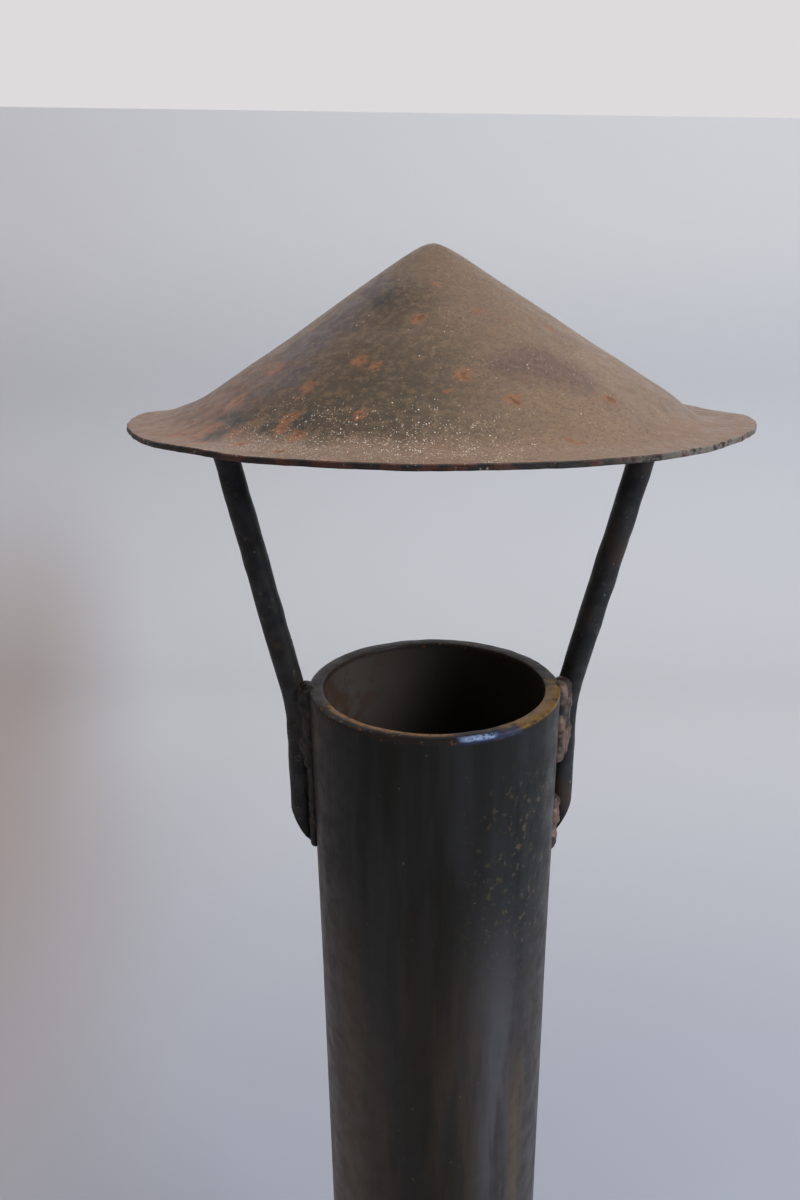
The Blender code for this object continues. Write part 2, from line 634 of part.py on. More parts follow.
def make_handle():
    make_post("handle_post_front", POST_FRONT_Y, -1)
    make_post("handle_post_rear", POST_REAR_Y, 1)
    for i, place in enumerate(post_screw_places(LID_TOP + GAP + POST_SHEET)):
        rivet(f"post_rivet_{i + 1}", place, "Z", POST_SHEET + GAP + LID_SHEET, rivet_steel)

    shield = box("heat_shield", (-SHIELD_HALF_WIDTH, POST_REAR_Y - 11 * MM, SHIELD_Z),
                 (SHIELD_HALF_WIDTH, POST_FRONT_Y + 11 * MM, SHIELD_Z + SHIELD_SHEET), black_steel)
    slots = []
    for name, y in (("front", POST_FRONT_Y + POST_SHEET / 2), ("rear", POST_REAR_Y - POST_SHEET / 2)):
        half_x = POST_NECK_WIDTH / 2 + GAP
        half_y = POST_SHEET / 2 + GAP
        slots.append(block(f"shield_slot_{name}", (-half_x, y - half_y, SHIELD_Z - 3 * MM),
                           (half_x, y + half_y, SHIELD_Z + 3 * MM)))
    cut(shield, slots)

    middle_y = (POST_FRONT_Y + POST_REAR_Y) / 2
    half = (POST_FRONT_Y - POST_REAR_Y) / 2
    wood = half - GAP - FERRULE_LENGTH - GAP
    bore = ROD_RADIUS + GAP
    end_radius = 10.5 * MM
    profile = [(bore, wood), (end_radius, wood)]
    for i in range(1, 12):
        along = 1 - 2 * i / 12
        profile.append((end_radius + (GRIP_RADIUS - end_radius) * math.cos(along * math.pi / 2), wood * along))
    profile += [(end_radius, -wood), (bore, -wood)]
    turned("handle_grip", profile, (0, middle_y, GRIP_Z), "Y", turned_wood, 32, True)
    for name, side in (("ferrule_front", 1), ("ferrule_rear", -1)):
        low = wood + GAP if side > 0 else -wood - GAP - FERRULE_LENGTH
        high = low + FERRULE_LENGTH
        wide_end, narrow_end = (low, high) if side > 0 else (high, low)
        ring = [(bore, high), (11 * MM if high == wide_end else 9 * MM, high),
                (11 * MM if low == wide_end else 9 * MM, low), (bore, low)]
        turned(name, ring, (0, middle_y, GRIP_Z), "Y", brass, 32, True)
        nut_y = middle_y + side * (half + POST_SHEET + GAP + NUT_LENGTH / 2)
        nut = cylinder(f"handle_nut_{name[8:]}", 7.5 * MM, NUT_LENGTH, (0, nut_y, GRIP_Z), "Y",
                       rivet_steel, 6)
        cut(nut, [hole(f"nut_bore_{name[8:]}", bore, 20 * MM, (0, nut_y, GRIP_Z), "Y", 24)])
    reach = half + POST_SHEET + NUT_LENGTH + 1.6 * MM
    ends = [(0, reach), (ROD_RADIUS - 0.8 * MM, reach), (ROD_RADIUS, reach - 0.8 * MM),
            (ROD_RADIUS, 0.8 * MM - reach), (ROD_RADIUS - 0.8 * MM, -reach), (0, -reach)]
    turned("handle_rod", ends, (0, middle_y, GRIP_Z), "Y", rivet_steel, 24)


def hang(empty_name, place, names, parent=None):
    """Parents the pieces of a moving body to an empty on its joint's axis."""
    empty = bpy.data.objects.new(empty_name, None)
    iron.objects.link(empty)
    empty.location = place
    bpy.context.view_layer.update()
    if parent:
        empty.parent = parent
        empty.matrix_parent_inverse = parent.matrix_world.inverted()
    for name in names:
        piece = bpy.data.objects[name]
        piece.parent = empty
        piece.matrix_parent_inverse = empty.matrix_world.inverted()
    return empty


def hang_moving_pieces():
    lid_pieces = ["lid_plate", "lid_skirt", "hinge_leaf_lid", "heat_shield", "handle_grip", "handle_rod",
                  "handle_post_front", "handle_post_rear", "ferrule_front", "ferrule_rear",
                  "handle_nut_front", "handle_nut_rear", "lid_leaf_rivet_1", "lid_leaf_rivet_2"]
    lid_pieces += [f"post_rivet_{i}" for i in range(1, 5)] + ["catch_pivot"]
    lid_axis = hang("lid_axis", (0, HINGE_Y, HINGE_Z), lid_pieces)
    hang("catch_axis", (0, CATCH_Y, LID_TOP), ["lid_catch"], lid_axis)
    hang("door_axis", (0, HEEL_FACE_Y, DOOR_PIVOT_Z), ["draught_door", "door_knob"])


clear_scene()
iron = make_collection("charcoal_iron")
cutters = make_collection("cutters")

ground_steel = make_material("ground steel", "4A4744", 0.42, 1.0)
black_steel = make_material("blackened steel", "2A2927", 0.5, 0.9)
rusty_sheet = make_material("rusty sheet steel", "77624F", 0.7, 0.4)
cast_iron = make_material("cast iron", "35322F", 0.7, 0.8)
rivet_steel = make_material("rivet steel", "3A3735", 0.45, 1.0)
turned_wood = make_material("turned beech", "6B4426", 0.45, 0.0)
brass = make_material("tarnished brass", "8A6E3C", 0.4, 1.0)

make_sole()
make_wall()
make_heel_plate()
make_nose_deck()
make_collar()
make_pipe()
make_stays()
make_cap()
make_grate()
make_keeper()
make_draught_door()
make_lid()
make_hinge()
make_catch()
make_handle()
hang_moving_pieces()
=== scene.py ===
"""Looks of a smith-made charcoal iron: rain cap, flue pipe, stays, body, lid and handle."""
import math

import bpy
from mathutils import Matrix, Vector, noise


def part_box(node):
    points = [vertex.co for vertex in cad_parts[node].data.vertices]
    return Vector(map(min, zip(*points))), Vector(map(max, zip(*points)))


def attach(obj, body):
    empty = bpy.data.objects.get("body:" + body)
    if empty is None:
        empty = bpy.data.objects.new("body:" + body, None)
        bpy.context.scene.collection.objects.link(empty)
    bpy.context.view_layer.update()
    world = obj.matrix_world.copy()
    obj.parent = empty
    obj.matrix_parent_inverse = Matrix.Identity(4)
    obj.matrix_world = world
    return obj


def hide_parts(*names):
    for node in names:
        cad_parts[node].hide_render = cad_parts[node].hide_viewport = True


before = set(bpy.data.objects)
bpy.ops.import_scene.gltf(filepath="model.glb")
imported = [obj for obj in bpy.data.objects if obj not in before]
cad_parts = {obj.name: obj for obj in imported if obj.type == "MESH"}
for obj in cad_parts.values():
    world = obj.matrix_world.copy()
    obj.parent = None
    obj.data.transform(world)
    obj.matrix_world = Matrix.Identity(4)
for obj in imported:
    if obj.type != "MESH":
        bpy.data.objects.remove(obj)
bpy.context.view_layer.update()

MM = 0.001
X = Vector((1, 0, 0))
Y = Vector((0, 1, 0))
Z = Vector((0, 0, 1))


def middle(node_name):
    low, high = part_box(node_name)
    return (low + high) / 2


# Places and sizes read from the frame.
PIPE_LOW, PIPE_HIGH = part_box("chimney_pipe")
PIPE_Y = middle("chimney_pipe").y
PIPE_RADIUS = 20 * MM
PIPE_MOUTH_RADIUS = (PIPE_HIGH.x - PIPE_LOW.x) / 2
PIPE_BORE_RADIUS = 17.9 * MM
RIM_Z = PIPE_HIGH.z
CAP_LOW, CAP_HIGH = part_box("rain_cap")
CAP_RADIUS = (CAP_HIGH.x - CAP_LOW.x) / 2
CAP_BRIM_HEIGHT = 42.7 * MM     # from the rim
SOLE_LOW, SOLE_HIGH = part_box("sole_plate")
SOLE_HALF_WIDTH = SOLE_HIGH.x
STRAIGHT_LENGTH = 81 * MM       # parallel part of the boat shape, from the heel
NOSE_LENGTH = 125 * MM          # curved part, to the toe
ARC_RADIUS = (NOSE_LENGTH ** 2 + SOLE_HALF_WIDTH ** 2) / (2 * SOLE_HALF_WIDTH)
ARC_CENTRE_Y = SOLE_LOW.y + STRAIGHT_LENGTH
GRIP_MIDDLE = middle("handle_grip")
GRIP_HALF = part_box("handle_grip")[1].y - GRIP_MIDDLE.y


# ---- camera, stage and light

def make_camera():
    """Eye level above the rim, close in, looking down at the cap."""
    bpy.ops.object.camera_add()
    camera = bpy.context.object
    camera.name = "camera"
    turn = (Matrix.Rotation(math.radians(2.33), 4, "Z")
            @ Matrix.Rotation(math.radians(90 - 18.17), 4, "X")
            @ Matrix.Rotation(math.radians(-0.61), 4, "Z"))
    place = Vector((0, PIPE_Y - 132.4 * MM, RIM_Z + 57.6 * MM))
    camera.matrix_world = Matrix.Translation(place) @ turn
    camera.data.sensor_width = 36
    camera.data.lens = 26.43
    camera.data.clip_start = 5 * MM
    bpy.context.scene.camera = camera


def make_stage():
    """A pale floor that turns up into a low wall behind the iron."""
    deselect()
    half_width = 2.5
    front_y, back_y = -3.0, 0.9
    top_z = 0.503
    cove = 0.24                  # how far the turn between floor and wall reaches
    lean = 0.030                 # the wall's top edge isn't quite level
    bpy.ops.mesh.primitive_plane_add(size=2)
    stage = bpy.context.object
    stage.name = "floor"
    for vertex in stage.data.vertices:
        vertex.co.x *= half_width
        vertex.co.y = back_y if vertex.co.y > 0 else front_y
    select_edges(stage, lambda a, b: a.y > 0 and b.y > 0)
    draw_up(top_z)
    leave_edit()
    for vertex in stage.data.vertices:
        if vertex.co.z > top_z / 2:
            vertex.co.z -= lean * vertex.co.x
    select_edges(stage, lambda a, b: a.y > 0 and b.y > 0 and a.z < 0.1 and b.z < 0.1)
    bpy.ops.mesh.bevel(offset=cove, segments=28, affect="EDGES")
    leave_edit()
    bpy.ops.object.shade_smooth()
    paint(stage, stage_material())


def add_area_light(name, place, target, size, power, colour):
    bpy.ops.object.light_add(type="AREA", location=place)
    light = bpy.context.object
    light.name = name
    light.rotation_mode = "QUATERNION"
    light.rotation_quaternion = (Vector(target) - Vector(place)).to_track_quat("-Z", "Y")
    light.data.size = size
    light.data.energy = power
    light.data.color = colour


def make_light():
    """A soft window on the right, a weak warm fill on the left and a large lamp over the iron."""
    world = bpy.data.worlds.new("studio")
    bpy.context.scene.world = world
    world.use_nodes = True
    tree = world.node_tree
    look = node(tree, "TexCoord").outputs["Generated"]
    behind = along(look, 1, 0, 0.75 / MM)
    room = coats(tree, "6E6A68", ("DEDBDC", behind))
    tree.links.new(room, tree.nodes["Background"].inputs["Color"])
    aim = (0, PIPE_Y, RIM_Z)
    add_area_light("window", (0.95, -0.50, 0.85), aim, 0.7, 11.0, (0.90, 0.95, 1.0))
    add_area_light("fill", (-0.9, -0.3, 0.9), aim, 0.9, 1.2, (1.0, 0.93, 0.88))
    add_area_light("overhead", (0.1, -0.3, 1.8), (0, 0.6, 0.1), 1.6, 20.0, (1.0, 0.99, 0.97))
    bpy.context.scene.view_settings.view_transform = "Standard"


# ---- modelling helpers

def deselect():
    if bpy.context.mode != "OBJECT":
        bpy.ops.object.mode_set(mode="OBJECT")
    bpy.ops.object.select_all(action="DESELECT")


def only(piece):
    deselect()
    piece.select_set(True)
    bpy.context.view_layer.objects.active = piece


def select_edges(piece, wanted):
    """Opens a piece in edit mode with only the edges whose two ends pass the test."""
    only(piece)
    bpy.ops.object.mode_set(mode="EDIT")
    bpy.ops.mesh.select_mode(type="EDGE")
    bpy.ops.mesh.select_all(action="DESELECT")
    bpy.ops.object.mode_set(mode="OBJECT")
    points = piece.data.vertices
    for edge in piece.data.edges:
        edge.select = wanted(*(points[i].co for i in edge.vertices))
    bpy.ops.object.mode_set(mode="EDIT")


def edit_all():
    """Opens the active piece in edit mode with all of it selected."""
    bpy.ops.object.mode_set(mode="EDIT")
    bpy.ops.mesh.select_all(action="SELECT")


def leave_edit():
    bpy.ops.object.mode_set(mode="OBJECT")


def seal(merge=None):
    """Merges near points where asked, turns the faces outwards and leaves edit mode."""
    bpy.ops.mesh.select_all(action="SELECT")
    if merge:
        bpy.ops.mesh.remove_doubles(threshold=merge)
    bpy.ops.mesh.normals_make_consistent(inside=False)
    leave_edit()


def smooth_within(degrees):
    bpy.ops.object.shade_smooth_by_angle(angle=math.radians(degrees))


def draw_up(height):
    bpy.ops.mesh.extrude_region_move(TRANSFORM_OT_translate={"value": (0, 0, height)})


def fix_place():
    """Moves the active piece's place, turn and size into its mesh."""
    bpy.ops.object.transform_apply(location=True, rotation=True, scale=True)


def apply_all(piece):
    only(piece)
    for modifier in list(piece.modifiers):
        bpy.ops.object.modifier_apply(modifier=modifier.name)


def round_edges(piece, width, segments=2, angle=30):
    step = piece.modifiers.new("edges", "BEVEL")
    step.width = width
    step.segments = segments
    step.limit_method = "ANGLE"
    step.angle_limit = math.radians(angle)
    apply_all(piece)
    smooth_within(angle + 8)


def paint(piece, *materials):
    piece.data.materials.clear()
    for material in materials:
        piece.data.materials.append(material)


def copied(piece, name):
    """A piece's twin, with its own mesh."""
    twin = bpy.data.objects.new(name, piece.data.copy())
    bpy.context.collection.objects.link(twin)
    return twin


def keep(piece, material, *nodes, body="root", slot="black_steel"):
    """A finished piece is painted, rides on its body and stands for its nodes; its slot is not used."""
    if material:                 # the cap has its three already
        paint(piece, material)
    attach(piece, body)
    if nodes:
        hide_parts(*nodes)


def drawn(name, points):
    """A chain of edges through points, left in edit mode with all of it selected."""
    deselect()
    bpy.ops.mesh.primitive_plane_add(size=MM)
    piece = bpy.context.object
    piece.name = name
    bpy.ops.object.mode_set(mode="EDIT")
    bpy.ops.mesh.select_mode(type="VERT")
    bpy.ops.mesh.select_all(action="SELECT")
    bpy.ops.mesh.merge(type="CENTER")
    bpy.ops.transform.translate(value=points[0])
    for last, point in zip(points, points[1:]):
        bpy.ops.mesh.extrude_region_move(TRANSFORM_OT_translate={"value": point - last})
    bpy.ops.mesh.select_all(action="SELECT")
    return piece


def turned(name, profile, centre, axis, steps, unit=MM):
    """A chain of edges drawn as (radius, height) points and spun about an axis."""
    across = Y if axis == X else X
    piece = drawn(name, [centre + across * (radius * unit) + axis * (height * unit)
                         for radius, height in profile])
    bpy.ops.mesh.spin(steps=steps, angle=math.tau, center=centre, axis=axis)
    seal(merge=0.005 * MM)
    smooth_within(35)
    return piece


def plate(name, outline, low, high, width, segments):
    """A flat plate: its outline filled with one face, drawn up, its edges rounded."""
    piece = drawn(name, [Vector((x, y, low)) for x, y in outline])
    bpy.ops.mesh.edge_face_add()
    draw_up(high - low)
    seal()
    round_edges(piece, width, segments)
    return piece


def bent_sheet(name, outline, low, high, thickness):
    """A sheet bent along an outline: the line drawn up in steps, beaten and thickened inwards."""
    piece = drawn(name, [Vector((x, y, low)) for x, y in outline])
    rises = 9
    for _ in range(rises):
        draw_up((high - low) / rises)
    seal()
    first = piece.data.polygons[0]
    if first.normal.x * first.center.x < 0:
        bpy.ops.object.mode_set(mode="EDIT")
        bpy.ops.mesh.flip_normals()
        leave_edit()
    roughen(piece, 0.35, 26, 4.0)
    sheet = piece.modifiers.new("sheet", "SOLIDIFY")
    sheet.thickness = thickness
    sheet.offset = -1
    sheet.use_even_offset = True
    apply_all(piece)
    return piece


def combined(piece, tool, operation):
    """Cuts a piece with a tool, or keeps what the two share; the tool is used up."""
    step = piece.modifiers.new("cut", "BOOLEAN")
    step.operation = operation
    step.solver = "EXACT"
    step.object = tool
    apply_all(piece)
    bpy.data.objects.remove(tool, do_unlink=True)


def drilled(piece, places, radius, depth, turn, vertices=28):
    """Round holes cut through a piece."""
    for place in places:
        deselect()
        bpy.ops.mesh.primitive_cylinder_add(vertices=vertices, radius=radius, depth=depth,
                                            location=place, rotation=turn)
        combined(piece, bpy.context.object, "DIFFERENCE")


def refined(name, node_name, width, segments):
    """A node's shape with its triangles merged into faces and its edges rounded."""
    piece = copied(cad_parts[node_name], name)
    only(piece)
    bpy.ops.mesh.customdata_custom_splitnormals_clear()
    edit_all()
    bpy.ops.mesh.remove_doubles(threshold=0.002 * MM)
    bpy.ops.mesh.dissolve_limited(angle_limit=math.radians(0.5))
    leave_edit()
    round_edges(piece, width, segments)
    return piece


def swept(name, points, radius, sides, radii=None):
    """A round bar along a path, as a mesh."""
    curve = bpy.data.curves.new(name, "CURVE")
    curve.dimensions = "3D"
    curve.bevel_depth = radius
    curve.bevel_resolution = sides
    curve.use_fill_caps = True
    spline = curve.splines.new("POLY")
    spline.points.add(len(points) - 1)
    for i, place in enumerate(points):
        spline.points[i].co = (*place, 1)
        spline.points[i].radius = radii[i] if radii else 1
    bar = bpy.data.objects.new(name, curve)
    bpy.context.collection.objects.link(bar)
    only(bar)
    bpy.ops.object.convert(target="MESH")
    edit_all()
    seal(merge=0.002 * MM)
    smooth_within(45)
    return bpy.context.object


def roughen(piece, depth, size, seed):
    """Moves the surface in and out a little, the way hammer and file leave it; depth and size in mm."""
    offset = Vector((seed, 2 * seed, 3 * seed))
    normals = [vertex.normal.copy() for vertex in piece.data.vertices]
    for vertex, normal in zip(piece.data.vertices, normals):
        vertex.co += normal * (depth * MM) * noise.noise(vertex.co / (size * MM) + offset)


def blend(low, high, value):
    """Smooth step from 0 at low to 1 at high."""
    share = min(1.0, max(0.0, (value - low) / (high - low)))
    return share * share * (3 - 2 * share)


# ---- material helpers; the sizes and distances that they are given are in mm

def linear(hex_colour):
    """sRGB hex text to the linear values that a shader takes."""
    values = []
    for start in (0, 2, 4):
        level = int(hex_colour[start:start + 2], 16) / 255
        values.append(level / 12.92 if level <= 0.04045 else ((level + 0.055) / 1.055) ** 2.4)
    return (*values, 1.0)


def node(tree, kind, inputs=None, **settings):
    """Adds a shader node, then gives each named or numbered input a value or a link."""
    made = tree.nodes.new("ShaderNode" + kind)
    for key, value in settings.items():
        setattr(made, key, value)
    for key, value in (inputs or {}).items():
        if isinstance(value, bpy.types.NodeSocket):
            tree.links.new(value, made.inputs[key])
        else:
            made.inputs[key].default_value = value
    return made


def new_material(name, **values):
    """A principled material; the values are the ones that are the same all over it."""
    material = bpy.data.materials.new(name)
    material.use_nodes = True
    shader = material.node_tree.nodes["Principled BSDF"]
    for socket, value in values.items():
        shader.inputs[socket.replace("_", " ")].default_value = value
    place = node(material.node_tree, "TexCoord").outputs["Object"]
    return material, material.node_tree, place


def finish(material, **links):
    """Links what varies over the surface to the shader."""
    tree = material.node_tree
    for socket, output in links.items():
        tree.links.new(output, tree.nodes["Principled BSDF"].inputs[socket.replace("_", " ")])
    return material


def centred(place, origin, stretch=(1, 1, 1)):
    """The place measured from an origin; a stretch below 1 draws a pattern out along that axis."""
    tree = place.id_data
    moved = node(tree, "VectorMath", {0: place, 1: tuple(origin)}, operation="SUBTRACT")
    return node(tree, "Mapping", {"Vector": moved.outputs[0], "Scale": stretch}).outputs[0]


def patches(place, size, low, high, seed=0.0):
    """Soft patches of one real size: 0 outside, 1 inside; they grow as low and high fall."""
    tree = place.id_data
    moved = node(tree, "Mapping", {"Vector": place, "Location": (seed, seed * 1.7, seed * 0.6)})
    cloud = node(tree, "TexNoise", {"Vector": moved.outputs[0], "Scale": 1 / (size * MM),
                                    "Detail": 3.0, "Roughness": 0.6})
    return node(tree, "MapRange", {"Value": cloud.outputs[0], "From Min": low, "From Max": high},
                interpolation_type="SMOOTHSTEP").outputs[0]


def along(place, axis, start, end):
    """0 at start and 1 at end along one axis, with soft ends."""
    tree = place.id_data
    value = node(tree, "SeparateXYZ", {0: place}).outputs[axis]
    return node(tree, "MapRange", {"Value": value, "From Min": start * MM, "From Max": end * MM},
                interpolation_type="SMOOTHSTEP").outputs[0]


def ring(place, start, end):
    """0 at one distance from the axis of Z and 1 at another."""
    tree = place.id_data
    flat = node(tree, "VectorMath", {0: place, 1: (1, 1, 0)}, operation="MULTIPLY").outputs[0]
    distance = node(tree, "VectorMath", {0: flat}, operation="LENGTH").outputs["Value"]
    return node(tree, "MapRange", {"Value": distance, "From Min": start * MM, "From Max": end * MM},
                interpolation_type="SMOOTHSTEP").outputs[0]


def product(*values):
    result = values[0]
    for value in values[1:]:
        result = node(result.id_data, "Math", {0: result, 1: value}, operation="MULTIPLY").outputs[0]
    return result


def coats(tree, base, *layers):
    """Colours laid over a base one after another: each is a hex colour and the masks it shows through."""
    result = linear(base)
    for colour, *masks in layers:
        mixed = node(tree, "Mix", {0: product(*masks), 6: result, 7: linear(colour)}, data_type="RGBA")
        result = mixed.outputs[2]
    return result


def uneven(place, *dents):
    """A normal from several unevennesses, each a size, a depth and how strongly it shows."""
    tree = place.id_data
    normal = None
    for size, depth, strength in dents:
        cloud = node(tree, "TexNoise", {"Vector": place, "Scale": 1 / (size * MM), "Detail": 3.0})
        links = {"Height": cloud.outputs[0], "Distance": depth * MM, "Strength": strength}
        if normal:
            links["Normal"] = normal
        normal = node(tree, "Bump", links).outputs[0]
    return normal


def varied(place, size, low, high, seed=0.0):
    """A value that wanders between two limits over patches of one size."""
    return node(place.id_data, "MapRange", {"Value": patches(place, size, 0.3, 0.7, seed),
                                            "To Min": low, "To Max": high}).outputs[0]


def grains(place, size, share, fill):
    """Scattered single grains: a share of cells of one size, each a soft dot."""
    tree = place.id_data
    cells = node(tree, "TexVoronoi", {"Vector": place, "Scale": 1 / (size * MM)}, feature="F1")
    level = node(tree, "SeparateXYZ", {0: cells.outputs["Color"]}).outputs[0]
    chosen = node(tree, "Math", {0: level, 1: share}, operation="LESS_THAN").outputs[0]
    dot = node(tree, "MapRange", {"Value": cells.outputs["Distance"], "From Min": fill,
                                  "From Max": fill * 0.6}).outputs[0]
    return product(chosen, dot)


def warped(place, size, amount):
    """The place pushed about by a cloud of one size, so that what is drawn on it is ragged."""
    tree = place.id_data
    reach = 2 * amount * MM
    cloud = node(tree, "TexNoise", {"Vector": place, "Scale": 1 / (size * MM), "Detail": 3.0})
    push = node(tree, "VectorMath", {0: cloud.outputs["Color"], 1: (0.5, 0.5, 0.5)}, operation="SUBTRACT")
    flat = node(tree, "VectorMath", {0: push.outputs[0], 1: (reach, reach, 0)}, operation="MULTIPLY")
    return node(tree, "VectorMath", {0: place, 1: flat.outputs[0]}, operation="ADD").outputs[0]


def marks(place, soft, *places):
    """1 inside round marks and 0 outside; each is an x, a y and a radius, seen from above."""
    tree = place.id_data
    flat = node(tree, "VectorMath", {0: place, 1: (1, 1, 0)}, operation="MULTIPLY").outputs[0]
    result = None
    for x, y, radius in places:
        away = node(tree, "VectorMath", {0: flat, 1: (x * MM, y * MM, 0)}, operation="DISTANCE")
        mark = node(tree, "MapRange", {
            "Value": away.outputs["Value"], "From Min": radius * (1 + soft) * MM,
            "From Max": radius * (1 - soft) * MM}, interpolation_type="SMOOTHSTEP").outputs[0]
        result = mark if result is None else node(
            tree, "Math", {0: result, 1: mark}, operation="MAXIMUM").outputs[0]
    return result


def worn(name, base, layers, dents, rough=None, **values):
    """A finish that is patches over a base: each layer is a colour, what its patches take and,
    where it is thin, how much of it shows."""
    material, tree, place = new_material(name, **values)
    colour = coats(tree, base, *((tint, patches(place, *cloud), *share) for tint, cloud, *share in layers))
    finish(material, Base_Color=colour, Normal=uneven(place, *dents))
    return finish(material, Roughness=varied(place, *rough)) if rough else material


# ---- materials

def stage_material():
    """Matt board, pale blue-grey, with painted shade: darker low on the wall and near the iron, greyer
    there on the left and bluer on the right, and a warm painted shadow of the cap and pipe low on the left.
    """
    material, tree, place = new_material("painted board", Roughness=0.9)
    slanted = node(tree, "Mapping", {"Vector": place, "Rotation": (0, 0, math.radians(-18))}).outputs[0]
    # Painted shade: the stage darker towards the iron.
    near = along(place, 1, 620, 100)
    # Painted shadow: where the soft warm shadow of the cap and pipe falls, low on the left.
    left = product(along(slanted, 0, -20, -160), along(slanted, 0, -950, -550),
                   along(place, 1, 100, 400), along(place, 1, 1100, 600))
    # Painted shade over the pale base: the wall darker low down, and near the iron darker, greyer on the
    # left and bluer on the right.
    wall = coats(tree, "DADBDE", ("C9CBD2", along(place, 2, 420, 240), 0.8), ("A0A4B1", near),
                 ("A5A2A9", near, along(place, 0, -80, -220), 0.85),
                 ("ABB0C3", along(place, 1, 300, 0), along(place, 0, 20, 120), 0.85),
                 # The warm painted shadow of the cap and pipe.
                 ("A0908A", left, along(place, 2, 200, 20), 0.75))
    return finish(material, Base_Color=wall)


# Rust blooms on the cap: x and y from its axis and a radius, in mm.
RUST_BLOOMS = (
    (-9, -23, 0.9), (-7, -24.5, 0.6), (-15, -24.7, 0.9), (-17, -29.5, 1.0), (-17.5, -31, 0.8),
    (-15.5, -33, 0.9), (-27, -25, 1.2), (-23.5, -29, 1.0), (-20.5, -16.5, 1.2), (3.3, -26.5, 1.0),
    (9, -29.5, 0.9), (15, -12, 0.7), (21, -24, 0.8), (-17, -36.5, 0.8), (-2, -17, 0.8), (-25, -20, 1.2),
    (-8.5, -32, 0.7), (-29, -27, 1.2), (-31, -24, 1.1), (-27, -31, 1.0), (-22, -33, 0.8))


def rusted_sheet():
    """Hammered mild steel sheet under years of heat: olive-brown patina with a dull oily sheen, violet
    temper colours on the left slope, rust blooms, lighter to the right partly as painted light, a painted
    highlight on the brim's front, and worn grains and scratches painted near-white as glints, crowded on
    the turned edge."""
    material, tree, place = new_material("rusted hammered sheet", Metallic=0.1, Specular_IOR_Level=0.42)
    sheet = centred(place, (0, PIPE_Y, RIM_Z))
    ragged = warped(sheet, 4, 2.2)
    rough_edged = warped(sheet, 0.9, 1.2)
    leftward = along(ragged, 0, -16, -30)
    brim = ring(ragged, 35.5, 39.5)
    far_side = along(ragged, 1, -2, 10)
    olive = marks(ragged, 0.7, (-7, -29, 11), (-16, -31, 8), (-5, -14, 5), (-22, -27, 6))
    violet = marks(ragged, 0.6, (-12, -12, 4), (-16, -14, 4), (-23, -20, 4.5), (-27, -18, 3.5),
                   (-8, -8, 3), (-18, -21, 2.5))
    plum = marks(ragged, 0.6, (13, -22, 3.2), (17, -22, 3), (9, -24, 2.5))
    soot_spots = marks(rough_edged, 0.6, (-25, -24.5, 1.9), (-26, -28, 2.0), (-23, -26, 1.5),
                       (-6.5, -11.5, 1.8), (-15, -31, 1.5), (-19, -30, 1.2))
    rust = marks(rough_edged, 0.7, *RUST_BLOOMS)
    hearts = marks(rough_edged, 0.8, *((x + 0.2, y, 0.42 * radius) for x, y, radius in RUST_BLOOMS))
    # Where the worn grains crowd; their near-white colour below is a painted glint.
    worn_edge_glint_zone = marks(ragged, 0.75, (-20, -35, 6.5), (-12, -38, 6.5), (-3, -39.5, 6.5), (5, -40, 5),
                      (-14, -34, 4))
    crowd = node(tree, "MapRange", {"Value": product(worn_edge_glint_zone, patches(sheet, 2.2, 0.30, 0.58, 3.7)),
                                    "To Min": 0.006, "To Max": 0.55}).outputs[0]
    bright = patches(sheet, 0.6, 0.36, 0.66, 9.3)
    turned_about = node(tree, "Mapping", {"Vector": sheet, "Rotation": (0, 0, math.radians(32)),
                                          "Scale": (1, 0.2, 1)}).outputs[0]
    painted_scratch_glints = product(patches(turned_about, 0.22, 0.62, 0.70, 2.0), patches(sheet, 6, 0.40, 0.55, 8.0),
                        along(sheet, 0, -8, 6))
    colour = coats(
        tree, "533F2E",
        # Lighter towards the right: partly a beige patina, partly painted light from the window on the
        # right.
        ("7C6552", along(ragged, 0, -18, 24)),
        ("6B5746", patches(sheet, 9, 0.42, 0.64), 0.6),
        ("382C1A", olive, 0.85),
        ("40363A", violet, 0.85),
        ("553F3A", plum, 0.65),
        ("66402B", leftward, patches(sheet, 6, 0.34, 0.54, 3.1), 0.75),
        ("835536", leftward, patches(sheet, 1.7, 0.46, 0.66, 4.4), 0.65),
        ("3A2E20", far_side, patches(sheet, 11, 0.42, 0.58, 12.0), 0.8),
        ("494149", far_side, patches(sheet, 9, 0.50, 0.62, 15.0), 0.7),
        ("84502F", far_side, patches(sheet, 2.4, 0.62, 0.70, 18.0), 0.8),
        ("7C5B44", brim, 0.65),
        # Painted highlight: the front of the brim painted lighter, as if catching the bright wall behind.
        ("806A5A", brim, along(sheet, 1, -24, -36), 0.6),
        ("211B16", soot_spots, 0.85),
        ("8A6E51", patches(sheet, 1.1, 0.42, 0.68, 5.0), 0.28),
        ("271F18", patches(sheet, 0.40, 0.45, 0.70, 7.0), 0.42),
        # Painted glints along fine scratches on the centre and right.
        ("B09A80", painted_scratch_glints, 0.6),
        ("875430", rust, patches(sheet, 0.7, 0.30, 0.50, 2.7), 0.9),
        ("4A2A1B", hearts, 0.7),
        ("7E4C30", patches(sheet, 3.4, 0.66, 0.71, 6.6), 0.6),
        # Worn bare grains painted near-white: painted glints.
        ("D0C0AE", grains(sheet, 0.19, crowd, 0.42), bright),
        ("F4EBDF", grains(sheet, 0.30, crowd, 0.32), bright))
    return finish(material, Base_Color=colour, Roughness=varied(sheet, 2, 0.36, 0.50, 1.2),
                  Normal=uneven(sheet, (0.35, 0.05, 0.5), (2.5, 0.10, 0.5)))


